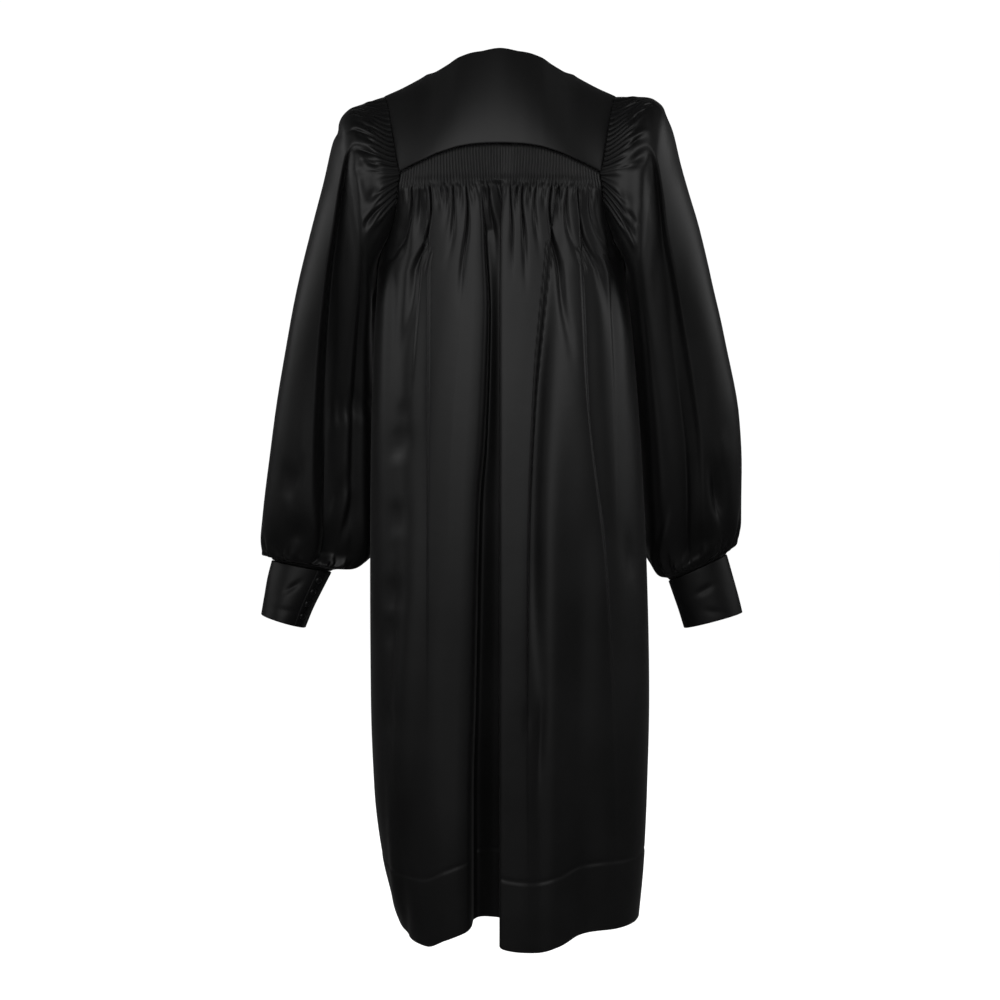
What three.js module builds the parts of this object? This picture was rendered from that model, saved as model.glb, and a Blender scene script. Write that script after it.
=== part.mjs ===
// A clergy robe, filled out as if worn, with nobody inside it.
// The wearer faces -Y, +Z is up and +X is the wearer's left. Lengths are millimetres.
// The origin is where the wearer's shoulders carry the robe, beside the neck.
// Every cloth piece is a thin wall round a hollow: neck, hem, armholes and cuffs are open.

import * as THREE from "three";

// Driving sizes
const seamGap = 0.4; // pieces that are sewn together stay this far apart
const bodyCloth = 1.5; // satin with its seam allowances
const yokeCloth = 2.4; // two layers of satin over interfacing
const cuffCloth = 2.6;
const shoulderPower = 1.7; // roundness of the shoulder from its ridge down to the blade
const ridgeY = -8;
const frontDrop = 75; // the front of the shoulder falls this far
const frontReach = 72; // and comes this far forward
const sectionPower = 2.5; // 2 would be an ellipse, and more is squarer
const underarm = -288; // height of the underarm
const frontHem = -1226;
const flutes = 34; // cartridge pleats on each half of the back
const fluteHeight = 1.6;
const fluteSink = 1.5; // the pleats lie this far under the yoke's face
const bandBottom = -172; // lower edge of the stitched pleats
const sleeveFlutesBack = 20;
const sleeveFlutesFront = 14;
const headGathers = 24;
const wristGathers = 12;
const cuffButtons = 4;
const buttonRadius = 5;
const buttonHeight = 3.6;

// The shoulder by distance from the centre: height of its ridge, and the place of the blade
const shoulderLine = [
  { x: 0, ridge: 139, bladeY: 99, bladeZ: -118 },
  { x: 30, ridge: 114.5, bladeY: 98.7, bladeZ: -119 },
  { x: 57, ridge: 80, bladeY: 97, bladeZ: -122.5 },
  { x: 74, ridge: 48, bladeY: 95, bladeZ: -127 },
  { x: 90, ridge: 20, bladeY: 92.2, bladeZ: -132 },
  { x: 102, ridge: 1.5, bladeY: 89.3, bladeZ: -137 },
  { x: 122, ridge: -9, bladeY: 83, bladeZ: -145 },
  { x: 141, ridge: -18.5, bladeY: 75, bladeZ: -154 },
  { x: 171, ridge: -32, bladeY: 55, bladeZ: -172 },
  { x: 190, ridge: -43, bladeY: 42, bladeZ: -183 },
];

// The yoke from the centre back (share 0) to the armhole (share 1). Each row gives the upper
// edge, as distance from the centre and angle over the shoulder, and the lower edge.
const yokeLines = [
  { share: 0, topX: 0, topAngle: 36.3, endX: 0 },
  { share: 0.2, topX: 51, topAngle: 43.1, endX: 28 },
  { share: 0.4, topX: 87, topAngle: 57.8, endX: 56 },
  { share: 0.55, topX: 104.5, topAngle: 77, endX: 77 },
  { share: 0.62, topX: 113, topAngle: 98, endX: 87 },
  { share: 0.8, topX: 142, topAngle: 108, endX: 113 },
  { share: 1, topX: 173, topAngle: 113, endX: 141 },
];
const neckShare = 0.62; // where the neck edge ends and the front seam begins

// Half widths and depths of the body by height
const bodySections = [
  { z: 0, left: 150, right: 150, back: 84, front: 72 },
  { z: -110, left: 164, right: 164, back: 98, front: 86 },
  { z: -200, left: 170, right: 171, back: 105, front: 98 },
  { z: -290, left: 176, right: 181, back: 110, front: 104 },
  { z: -400, left: 182, right: 193, back: 115, front: 107 },
  { z: -540, left: 186, right: 203, back: 121, front: 110 },
  { z: -700, left: 187, right: 211, back: 128, front: 114 },
  { z: -900, left: 186, right: 215, back: 136, front: 120 },
  { z: -1030, left: 181, right: 212, back: 140, front: 125 },
  { z: -1130, left: 168, right: 207, back: 143, front: 130 },
  { z: -1234, left: 138, right: 197, back: 146, front: 134 },
];

// Angle from the centre line at which the armhole cuts the back and the front, in degrees
const armholeAngles = [
  { z: 0, back: 63, front: 60 },
  { z: -150, back: 65, front: 69 },
  { z: -200, back: 65.6, front: 68 },
  { z: -240, back: 69, front: 70 },
  { z: -270, back: 80, front: 80 },
  { z: -288, back: 90, front: 90 },
  { z: -340, back: 90, front: 90 },
  { z: -1240, back: 90, front: 90 },
];

// Away from the armhole the cloth spreads more slowly: the same angle for its middle
const spreadAngles = [
  { z: -150, angle: 65 },
  { z: -190, angle: 65.6 },
  { z: -240, angle: 67.5 },
  { z: -300, angle: 71.5 },
  { z: -400, angle: 79 },
  { z: -520, angle: 87 },
  { z: -620, angle: 90 },
];

// Height of the back's hem, from the centre seam (share 0) to the side seam (share 1)
const hemLine = [
  { share: 0, left: -1204, right: -1224 },
  { share: 0.13, left: -1198, right: -1236 },
  { share: 0.22, left: -1206, right: -1237 },
  { share: 0.34, left: -1224, right: -1230 },
  { share: 0.46, left: -1235, right: -1219 },
  { share: 0.6, left: -1233, right: -1214 },
  { share: 0.8, left: -1224, right: -1213 },
  { share: 1, left: -1213, right: -1211 },
];

// Gathers under the pleats on each half of the back: place as a share from the centre seam,
// depth, and how far down each one runs
const gathers = {
  left: [
    { at: 0.047, deep: 4, run: 60 },
    { at: 0.139, deep: 3.5, run: 130 },
    { at: 0.213, deep: 2, run: 80 },
    { at: 0.29, deep: 3, run: 40 },
    { at: 0.355, deep: 5, run: 150 },
    { at: 0.42, deep: 3, run: 45 },
    { at: 0.483, deep: 5, run: 95 },
    { at: 0.545, deep: 4, run: 60 },
    { at: 0.62, deep: 3, run: 40 },
    { at: 0.69, deep: 6, run: 210 },
    { at: 0.78, deep: 5, run: 70 },
    { at: 0.86, deep: 5.5, run: 110 },
  ],
  right: [
    { at: 0.06, deep: 3, run: 35 },
    { at: 0.12, deep: 5, run: 110 },
    { at: 0.18, deep: 3.5, run: 45 },
    { at: 0.251, deep: 5, run: 120 },
    { at: 0.32, deep: 3, run: 40 },
    { at: 0.38, deep: 4.5, run: 85 },
    { at: 0.46, deep: 3, run: 40 },
    { at: 0.52, deep: 6, run: 220 },
    { at: 0.6, deep: 4, run: 60 },
    { at: 0.66, deep: 5, run: 100 },
    { at: 0.76, deep: 5.5, run: 190 },
    { at: 0.87, deep: 5, run: 90 },
  ],
};

// Soft folds of the body: sideways place and depth at fixed heights. steep narrows the side
// towards the wearer's left (+1) or right (-1).
const foldHeights = [-200, -330, -480, -700, -950, -1200];
const backFolds = [
  { x: [104, 119, 124, 124, 124, 124], depth: [6, 10, 3, 0, 0, 0], width: 12, steep: -1 },
  { x: [118, 118, 115, 112, 108, 104], depth: [0, 2, 9, 9, 7, 5], width: 17, steep: -1 },
  { x: [150, 152, 154, 152, 148, 132], depth: [3, 4, 5, 6, 8, 8], width: 13, steep: 0 },
  { x: [-78, -64, -50, -41, -44, -56], depth: [6, 9, 13, 13, 6, 0], width: 12, steep: 1 },
  { x: [-111, -116, -122, -147, -162, -165], depth: [6, 10, 11, 9, 3, 0], width: 15, steep: 1 },
  { x: [-110, -110, -108, -108, -112, -122], depth: [0, 0, 0, 4, 9, 16], width: 32, steep: 0 },
];
const frontFolds = [
  { x: [30, 34, 38, 44, 50, 54], depth: [0, 1, 4, 9, 13, 17], width: 16, steep: 0 },
  { x: [70, 76, 82, 92, 100, 104], depth: [0, 3, 6, 10, 13, 16], width: 17, steep: 0 },
  { x: [118, 124, 128, 136, 142, 138], depth: [1, 3, 5, 7, 9, 10], width: 15, steep: 0 },
];

// The deep pleat at the centre back, as one horizontal line through it. The right half turns
// under itself at the seam, and the left half starts below it and climbs out again.
const pleatRight = [
  { share: 0, across: -15, inward: 10 },
  { share: 0.025, across: -5, inward: 8.6 },
  { share: 0.043, across: 0.3, inward: 5 },
  { share: 0.06, across: -2, inward: 0.8 },
  { share: 0.085, across: -10, inward: 0 },
  { share: 0.14, across: -28, inward: 0 },
];
const pleatLeft = [
  { share: 0, across: -15, inward: 11.7 },
  { share: 0.03, across: -22.5, inward: 12.6 },
  { share: 0.045, across: -23.5, inward: 14.5 },
  { share: 0.06, across: -21, inward: 17 },
  { share: 0.08, across: -12, inward: 18.5 },
  { share: 0.13, across: 3, inward: 22 },
  { share: 0.18, across: 15, inward: 28 },
  { share: 0.205, across: 19, inward: 24 },
  { share: 0.23, across: 22, inward: 9 },
  { share: 0.26, across: 31, inward: 2 },
  { share: 0.295, across: 50, inward: 0 },
  { share: 0.34, across: 72, inward: 0 },
];
const pleatEdge = 18.6; // how far across the left half turns back up out of the pleat
const pleatGrowth = [
  { z: -172, open: 0, wide: 1, deep: 0.4 },
  { z: -205, open: 0.35, wide: 1.05, deep: 0.45 },
  { z: -240, open: 0.85, wide: 1.05, deep: 0.55 },
  { z: -350, open: 1, wide: 0.8, deep: 0.75 },
  { z: -450, open: 1, wide: 0.92, deep: 0.95 },
  { z: -540, open: 1, wide: 1.14, deep: 1.1 },
  { z: -620, open: 1, wide: 1.5, deep: 1.3 },
  { z: -900, open: 1, wide: 1.83, deep: 1.7 },
  { z: -1030, open: 1, wide: 2, deep: 1.85 },
  { z: -1240, open: 1, wide: 2, deep: 2 },
];

// Each sleeve by rings from the armhole to the cuff: its outermost and innermost point, and
// how far it reaches to the back and the front
const sleeveRings = {
  left: [
    { s: 0, outX: 172, outZ: -38, inX: 178, inZ: -290, backY: 80, frontY: -76 },
    { s: 1, outX: 200, outZ: -46, inX: 182, inZ: -302, backY: 90, frontY: -86 },
    { s: 2, outX: 225, outZ: -63, inX: 184, inZ: -318, backY: 88, frontY: -92 },
    { s: 3, outX: 240, outZ: -99, inX: 185, inZ: -342, backY: 76, frontY: -96 },
    { s: 4, outX: 256, outZ: -160, inX: 187, inZ: -376, backY: 60, frontY: -100 },
    { s: 5, outX: 279, outZ: -240, inX: 188, inZ: -422, backY: 45, frontY: -106 },
    { s: 6, outX: 302, outZ: -335, inX: 188, inZ: -482, backY: 32, frontY: -112 },
    { s: 7, outX: 322, outZ: -442, inX: 188, inZ: -548, backY: 21, frontY: -118 },
    { s: 8, outX: 338, outZ: -545, inX: 187, inZ: -612, backY: 12, frontY: -124 },
    { s: 9, outX: 350, outZ: -636, inX: 186, inZ: -662, backY: 4, frontY: -128 },
    { s: 10, outX: 354, outZ: -674, inX: 191, inZ: -699, backY: -8, frontY: -118 },
    { s: 11, outX: 350, outZ: -695, inX: 218, inZ: -716, backY: -18, frontY: -102 },
    { s: 12, outX: 337, outZ: -700, inX: 251, inZ: -720, backY: -32, frontY: -88 },
  ],
  right: [
    { s: 0, outX: 172, outZ: -38, inX: 178, inZ: -290, backY: 80, frontY: -76 },
    { s: 1, outX: 202, outZ: -36, inX: 183, inZ: -302, backY: 90, frontY: -86 },
    { s: 2, outX: 230, outZ: -48, inX: 188, inZ: -320, backY: 88, frontY: -92 },
    { s: 3, outX: 248, outZ: -84, inX: 193, inZ: -346, backY: 76, frontY: -96 },
    { s: 4, outX: 264, outZ: -142, inX: 198, inZ: -382, backY: 60, frontY: -100 },
    { s: 5, outX: 287, outZ: -212, inX: 203, inZ: -428, backY: 45, frontY: -106 },
    { s: 6, outX: 310, outZ: -302, inX: 208, inZ: -484, backY: 32, frontY: -112 },
    { s: 7, outX: 334, outZ: -402, inX: 213, inZ: -546, backY: 21, frontY: -118 },
    { s: 8, outX: 351, outZ: -492, inX: 216, inZ: -604, backY: 12, frontY: -124 },
    { s: 9, outX: 356, outZ: -576, inX: 219, inZ: -654, backY: 4, frontY: -128 },
    { s: 10, outX: 356, outZ: -645, inX: 220, inZ: -700, backY: -8, frontY: -118 },
    { s: 11, outX: 348, outZ: -682, inX: 234, inZ: -728, backY: -22, frontY: -100 },
    { s: 12, outX: 335, outZ: -695, inX: 251, inZ: -734, backY: -32, frontY: -88 },
  ],
};
const sleeveEnd = 12;

// Folds along the sleeves: angle round the sleeve from its outer line towards the back, and
// depth, at fixed rings. steep narrows the outer side (+1).
const sleeveFoldRings = [1.5, 4, 7, 9.5, 11.4];
const sleeveFolds = {
  left: [
    { angle: [72, 82, 90, 92, 92], depth: [5, 12, 18, 17, 5], width: 15, steep: 1 },
    { angle: [120, 128, 132, 134, 136], depth: [2, 8, 10, 9, 3], width: 13, steep: 0 },
    { angle: [300, 298, 294, 292, 290], depth: [4, 10, 12, 11, 4], width: 13, steep: 0 },
    { angle: [240, 238, 236, 234, 232], depth: [2, 6, 9, 8, 3], width: 15, steep: 0 },
  ],
  right: [
    { angle: [76, 84, 92, 94, 94], depth: [5, 13, 16, 15, 5], width: 12, steep: 0 },
    { angle: [122, 130, 134, 136, 136], depth: [3, 9, 9, 8, 3], width: 13, steep: 0 },
    { angle: [298, 296, 292, 290, 288], depth: [4, 10, 12, 11, 4], width: 13, steep: 0 },
    { angle: [242, 240, 238, 236, 234], depth: [2, 6, 9, 8, 3], width: 15, steep: 0 },
  ],
};

// The cuffs, top to bottom. drop lowers the side towards the body, as a share of the width.
const cuffRings = {
  left: [
    { s: 0, x: 294, y: -60, z: -714, halfWidth: 43, halfDepth: 28, drop: 0.2 },
    { s: 1, x: 304, y: -59, z: -740, halfWidth: 39.5, halfDepth: 31, drop: 0.22 },
    { s: 2, x: 313, y: -58, z: -767, halfWidth: 35, halfDepth: 34.5, drop: 0.26 },
    { s: 3, x: 321, y: -57, z: -795, halfWidth: 31.5, halfDepth: 37.5, drop: 0.31 },
  ],
  right: [
    { s: 0, x: 293, y: -60, z: -716, halfWidth: 42, halfDepth: 28, drop: 0.46 },
    { s: 1, x: 301, y: -59, z: -742, halfWidth: 42, halfDepth: 28.5, drop: 0.4 },
    { s: 2, x: 309, y: -58, z: -768, halfWidth: 42, halfDepth: 29, drop: 0.33 },
    { s: 3, x: 316, y: -57, z: -794, halfWidth: 42, halfDepth: 29.5, drop: 0.27 },
  ],
};
const cuffEnd = 3;
const buttonAngle = { left: 138, right: 222 }; // where the buttons sit round each cuff

// The front neck edge falls from the shoulder to this point at the centre front
const frontNeckShare = 0.45;
const neckPoint = { y: -88, z: -128 };

const smooth = (t) => {
  const c = Math.min(1, Math.max(0, t));
  return c * c * (3 - 2 * c);
};
const radians = (degrees) => (degrees * Math.PI) / 180;
const power = (base, exponent) => Math.sign(base) * Math.abs(base) ** exponent;
const sideName = (side) => (side > 0 ? "left" : "right");

// A smooth function through one column of a table, without overshoot.
function track(rows, by, name) {
  const x = rows.map((row) => row[by]);
  const y = rows.map((row) => row[name]);
  const last = x.length - 1;
  const secant = (i) => (y[i + 1] - y[i]) / (x[i + 1] - x[i]);
  const slope = x.map((_, i) => {
    if (i === 0) return secant(0);
    if (i === last) return secant(last - 1);
    const [a, b] = [secant(i - 1), secant(i)];
    return a * b <= 0 ? 0 : (2 * a * b) / (a + b);
  });
  const rising = x[last] > x[0];
  return (at) => {
    if (rising ? at <= x[0] : at >= x[0]) return y[0];
    if (rising ? at >= x[last] : at <= x[last]) return y[last];
    let i = 0;
    while (rising ? x[i + 1] < at : x[i + 1] > at) i += 1;
    const h = x[i + 1] - x[i];
    const t = (at - x[i]) / h;
    const a = (1 + 2 * t) * (1 - t) * (1 - t) * y[i] + t * t * (3 - 2 * t) * y[i + 1];
    return a + t * (1 - t) * (1 - t) * h * slope[i] - t * t * (1 - t) * h * slope[i + 1];
  };
}

// Every column of a table as such a function.
function tracks(rows, by) {
  const made = {};
  for (const name of Object.keys(rows[0])) if (name !== by) made[name] = track(rows, by, name);
  return made;
}
const listTrack = (stations, values) =>
  track(stations.map((at, i) => ({ at, value: values[i] })), "at", "value");

// A table that starts at the centre, read on both sides of it, so that it is level there.
const bothSides = (rows, by) => [
  ...rows.slice(1).reverse().map((row) => ({ ...row, [by]: -row[by] })),
  ...rows,
];

const shoulder = tracks(bothSides(shoulderLine, "x"), "x");
const yokeEdge = tracks(yokeLines, "share");
const yokeTopAngle = track(bothSides(yokeLines, "share"), "share", "topAngle");
const body = tracks(bodySections, "z");
const spread = track(spreadAngles, "z", "angle");
const armholeAngle = tracks(armholeAngles, "z");
const hem = tracks(hemLine, "share");
const growth = tracks(pleatGrowth, "z");
const pleat = { left: tracks(pleatLeft, "share"), right: tracks(pleatRight, "share") };
const pleatReach = { left: pleatLeft.at(-1).share, right: pleatRight.at(-1).share };
const rings = { left: tracks(sleeveRings.left, "s"), right: tracks(sleeveRings.right, "s") };
const cuffs = { left: tracks(cuffRings.left, "s"), right: tracks(cuffRings.right, "s") };
for (const fold of [...backFolds, ...frontFolds]) {
  fold.xAt = listTrack(foldHeights, fold.x);
  fold.depthAt = listTrack(foldHeights, fold.depth);
}
for (const fold of [...sleeveFolds.left, ...sleeveFolds.right]) {
  fold.angleAt = listTrack(sleeveFoldRings, fold.angle);
  fold.depthAt = listTrack(sleeveFoldRings, fold.depth);
}

// A point of the yoke. u runs from the wearer's right armhole (-1) to the left one (+1), and
// v from the upper edge over the shoulder to the lower edge.
function yokePoint(u, v) {
  const share = Math.abs(u);
  const side = Math.sign(u) || 1;
  const topX = yokeEdge.topX(share);
  const endX = yokeEdge.endX(share);
  const x = endX + (topX - endX) * (1 - power(v, 1.3));
  const angle = radians(yokeTopAngle(share) * (1 - v));
  const rise = power(Math.sin(angle), 2 / shoulderPower);
  const reach = power(Math.cos(angle), 2 / shoulderPower);
  const ridge = shoulder.ridge(x);
  if (reach < 0) {
    const y = ridgeY + frontReach * reach;
    return new THREE.Vector3(side * x, y, ridge - frontDrop * (1 - rise));
  }
  const bladeY = shoulder.bladeY(x);
  const bladeZ = shoulder.bladeZ(x);
  const y = ridgeY + (bladeY - ridgeY) * reach;
  return new THREE.Vector3(side * x, y, bladeZ + (ridge - bladeZ) * rise);
}

// A point of the body's horizontal section. The angle runs from the centre back. Outward is a
// unit vector in the plan.
function section(angle, side, z) {
  const a = body[sideName(side)](z);
  const b = Math.cos(angle) >= 0 ? body.back(z) : body.front(z);
  const sine = Math.sin(angle);
  const cosine = Math.cos(angle);
  const p = sectionPower;
  const r = (Math.abs(sine / a) ** p + Math.abs(cosine / b) ** p) ** (-1 / p);
  const nx = power((r * sine) / a, p - 1) / a;
  const ny = power((r * cosine) / b, p - 1) / b;
  const size = Math.hypot(nx, ny);
  return { x: side * r * sine, y: r * cosine, outX: (side * nx) / size, outY: ny / size };
}

// How deep the soft folds are at a place on the body.
function foldDepth(folds, x, z, flat) {
  let total = 0;
  for (const fold of folds) {
    const away = (x - fold.xAt(z)) / Math.max(0.35, flat);
    const lean = fold.steep * Math.sign(away);
    const width = fold.width * (lean > 0 ? 0.55 : lean < 0 ? 1.35 : 1);
    total += fold.depthAt(z) * Math.exp(-((away / width) ** 2));
  }
  return total;
}

// The gathers at a place on the back: the cloth puffs out under the pleats, between valleys.
function gatherShape(u, side, z) {
  const drop = bandBottom - z;
  if (drop <= 0) return 0;
  let valleys = 0;
  for (const { at, deep, run } of gathers[sideName(side)]) {
    const width = 0.017 + 0.014 * smooth(drop / run);
    const fade = 1 - smooth(drop / run - 0.35);
    valleys += deep * fade * Math.exp(-(((u - at) / width) ** 2));
  }
  const puff = 2.5 * (1 - smooth((drop - 20) / 120));
  return smooth(drop / 22) * (puff - valleys);
}

// The angle of a place on the back or front: the edge follows the armhole.
function plainAngle(u, z, panel) {
  const share = Math.max(0, u) ** 3;
  return radians(u * (armholeAngle[panel](z) * share + spread(z) * (1 - share)));
}

// The plain back at a height, before its folds.
function plainBack(u, z, side) {
  const top = yokePoint(side * u, 1);
  const topZ = top.z - seamGap - 0.1;
  const at = section(plainAngle(u, z, "back"), side, z);
  const start = section(plainAngle(u, topZ, "back"), side, topZ);
  const fade = 1 - smooth((topZ - z) / 90);
  return { x: at.x + (top.x - start.x) * fade, y: at.y + (top.y - start.y) * fade, at };
}

// A point of one half of the back. u runs from the centre seam to the armhole and side seam,
// and v from the yoke to the hem.
function backPoint(u, v, side) {
  const name = sideName(side);
  const topZ = yokePoint(side * u, 1).z - seamGap - 0.1;
  const z = topZ + (hem[name](u) - topZ) * v;
  const { x, y, at } = plainBack(u, z, side);
  const edge = smooth((1 - u) / 0.1);
  const soft = smooth((bandBottom + 8 - z) / 60) * edge;
  let out = -foldDepth(backFolds, x, z, Math.abs(at.outY)) * soft;
  out += gatherShape(u, side, z) * edge * smooth(u / 0.04);
  out -= fluteSink * (1 - smooth((bandBottom - z) / 12 + 1));
  const reach = pleatReach[name];
  if (u >= reach) return new THREE.Vector3(x + at.outX * out, y + at.outY * out, z);
  const open = growth.open(z);
  const deep = side > 0 ? 1 + (growth.deep(z) - 1) * smooth((u - 0.03) / 0.1) : 1;
  const across = pleat[name].across(u);
  const ease = side > 0 ? 1 : smooth((reach - u) / 0.06);
  let target = across;
  if (side > 0 && across > 0) target = Math.min(across, pleatEdge) * growth.wide(z);
  if (across > pleatEdge) {
    const rest = (across - pleatEdge) / (pleat[name].across(reach) - pleatEdge);
    target += rest * (plainBack(reach, z, side).x - target);
  }
  out -= pleat[name].inward(u) * deep * Math.sqrt(open);
  const moved = x + (target - x) * open * ease;
  return new THREE.Vector3(moved + at.outX * out * (1 - open), y + at.outY * out, z);
}

// The front's upper edge: the neck up to the shoulder, then the seam with the yoke.
function frontTop(u) {
  if (u >= frontNeckShare) {
    const share = neckShare + ((u - frontNeckShare) / (1 - frontNeckShare)) * (1 - neckShare);
    const edge = yokePoint(share, 0);
    const back = yokePoint(share, 0.02).sub(edge).normalize();
    return edge.addScaledVector(back, -seamGap - 0.5);
  }
  const t = Math.max(0, u / frontNeckShare);
  const corner = frontTop(frontNeckShare);
  const y = neckPoint.y + (corner.y - neckPoint.y) * t ** 1.8;
  const z = neckPoint.z + (corner.z - neckPoint.z) * t ** 1.15;
  return new THREE.Vector3(corner.x * t, y, z);
}

// A point of one half of the front. u runs from the centre front to the armhole and side seam.
function frontPoint(u, v, side) {
  const top = frontTop(u);
  const z = top.z + (frontHem + 14 * u ** 2 - top.z) * v;
  const at = section(Math.PI - plainAngle(u, z, "front"), side, z);
  const start = section(Math.PI - plainAngle(u, top.z, "front"), side, top.z);
  const fade = Math.max(0, 1 - (top.z - z) / (420 - 270 * smooth((u - 0.5) / 0.5))) ** 2;
  const x = at.x + (side * top.x - start.x) * fade;
  const y = at.y + (top.y - start.y) * fade;
  const soft = smooth((-180 - z) / 200) * smooth((1 - u) / 0.12) * smooth(u / 0.1);
  const out = -foldDepth(frontFolds, Math.abs(x), z, Math.abs(at.outY)) * soft;
  return new THREE.Vector3(x + at.outX * out, y + at.outY * out, z);
}

// Where the rows of points lie down the back and the front, from the top edge to the hem
const backPlaces = [
  0, 0.018, 0.037, 0.05, 0.068, 0.09, 0.11, 0.1265, 0.16, 0.21, 0.28, 0.36, 0.45, 0.55, 0.65,
  0.75, 0.85, 0.93, 1,
];
const frontPlaces = [
  0, 0.025, 0.06, 0.1, 0.14, 0.175, 0.2065, 0.25, 0.31, 0.4, 0.5, 0.62, 0.75, 0.88, 1,
];

// The armhole on one side as points round it, by angle seen from its middle: 0 is up and a
// quarter turn is to the back.
const armholeMiddle = { y: 0, z: -160 };
function armholeMarks(side) {
  const line = [];
  for (let v = 0; v <= 1; v += 1 / 16) line.push(yokePoint(side, v));
  for (const v of backPlaces) line.push(backPoint(1, v, side));
  for (const v of frontPlaces) line.push(frontPoint(1, v, side));
  const marks = line.filter((point) => point.z > underarm - 4).map((point) => {
    const angle = Math.atan2(point.y - armholeMiddle.y, point.z - armholeMiddle.z);
    return { angle: (angle + 2 * Math.PI) % (2 * Math.PI), point };
  });
  return marks.sort((a, b) => a.angle - b.angle);
}
const armholes = { left: armholeMarks(1), right: armholeMarks(-1) };

function armholePoint(angle, side) {
  const marks = armholes[sideName(side)];
  const full = 2 * Math.PI;
  const i = Math.max(0, marks.findIndex((mark) => mark.angle > angle));
  const after = marks[i];
  const before = marks[(i + marks.length - 1) % marks.length];
  const span = (after.angle - before.angle + full) % full || 1;
  const t = ((angle - before.angle + full) % full) / span;
  return before.point.clone().lerp(after.point, t);
}

// A point of a plain ring of a sleeve. The angle starts at its outer line, towards the back.
function ringPoint(angle, s, side) {
  const ring = rings[sideName(side)];
  const [outX, inX, outZ, inZ] = [ring.outX(s), ring.inX(s), ring.outZ(s), ring.inZ(s)];
  const [backY, frontY] = [ring.backY(s), ring.frontY(s)];
  return new THREE.Vector3(
    side * ((outX + inX) / 2 + ((outX - inX) / 2) * Math.cos(angle)),
    (backY + frontY) / 2 + ((backY - frontY) / 2) * Math.sin(angle),
    (outZ + inZ) / 2 + ((outZ - inZ) / 2) * Math.cos(angle),
  );
}

// A point of a sleeve. u runs once round it and s from the armhole to the cuff.
function sleevePoint(u, s, side) {
  const name = sideName(side);
  const angle = (u - Math.floor(u)) * 2 * Math.PI;
  const point = ringPoint(angle, s, side);
  const start = ringPoint(angle, 0, side);
  const hole = armholePoint(angle, side);
  const blend = 1 - smooth(s / 1.6);
  const clear = seamGap + 0.9 + (1 - Math.cos(angle));
  point.x += (hole.x + side * clear - start.x) * blend;
  point.y += (hole.y - start.y) * blend;
  point.z += (hole.z - start.z) * blend;
  const ring = rings[name];
  const middleX = (side * (ring.outX(s) + ring.inX(s))) / 2;
  const middleY = (ring.backY(s) + ring.frontY(s)) / 2;
  const outward = new THREE.Vector3(point.x - middleX, point.y - middleY, 0);
  const radius = Math.max(1, outward.length());
  outward.divideScalar(radius);
  const degrees = (angle * 180) / Math.PI;
  let inward = 0;
  for (const fold of sleeveFolds[name]) {
    const away = radians(((degrees - fold.angleAt(s) + 540) % 360) - 180) * radius;
    const lean = fold.steep * (away < 0 ? 1 : -1);
    const width = fold.width * (lean > 0 ? 0.45 : lean < 0 ? 2.2 : 1);
    inward += fold.depthAt(s) * Math.exp(-((away / width) ** 2));
  }
  inward *= smooth((s - 1) / 1.5) * (1 - smooth((s - 10) / 1.2));
  const head = smooth((s - 1) / 0.25) * (1 - smooth((s - 1.5) / 1.5));
  inward += 1.6 * head * (1 + Math.cos(angle * headGathers));
  const wrist = smooth((s - 9.6) / 0.9) * (1 - 0.6 * smooth((s - 10.4) / 1.2));
  inward += 2.6 * wrist * (1 + Math.cos(angle * wristGathers));
  point.addScaledVector(outward, -inward);
  const close = smooth((s - 11) / 1);
  if (close > 0) {
    const cuff = cuffPoint(u, 0, side);
    cuff.z += seamGap + 0.9;
    point.lerp(cuff, close);
    point.z += 2 * Math.sin(Math.PI * close);
  }
  return point;
}

// A point of a cuff. u runs once round it, from its outer line towards the back.
function cuffPoint(u, s, side) {
  const cuff = cuffs[sideName(side)];
  const angle = u * 2 * Math.PI;
  const across = cuff.halfWidth(s) * Math.cos(angle);
  return new THREE.Vector3(
    side * (cuff.x(s) + across),
    cuff.y(s) + cuff.halfDepth(s) * Math.sin(angle),
    cuff.z(s) + cuff.drop(s) * across,
  );
}

// Joins two rows of points across a wall, which may differ in number, with triangles. Both
// skins of a wall are joined alike, the inner one turned over.
function bridge(upper, lower, faces, over = false) {
  const add = (a, b, c) => faces.push(over ? [a, c, b] : [a, b, c]);
  let i = 0;
  let j = 0;
  while (i < upper.length - 1 || j < lower.length - 1) {
    const nextUpper = i < upper.length - 1 ? upper[i + 1].u : Infinity;
    const nextLower = j < lower.length - 1 ? lower[j + 1].u : Infinity;
    if (nextUpper <= nextLower) {
      add(upper[i].id, upper[i + 1].id, lower[j].id);
      i += 1;
    } else {
      add(upper[i].id, lower[j + 1].id, lower[j].id);
      j += 1;
    }
  }
}

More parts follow.
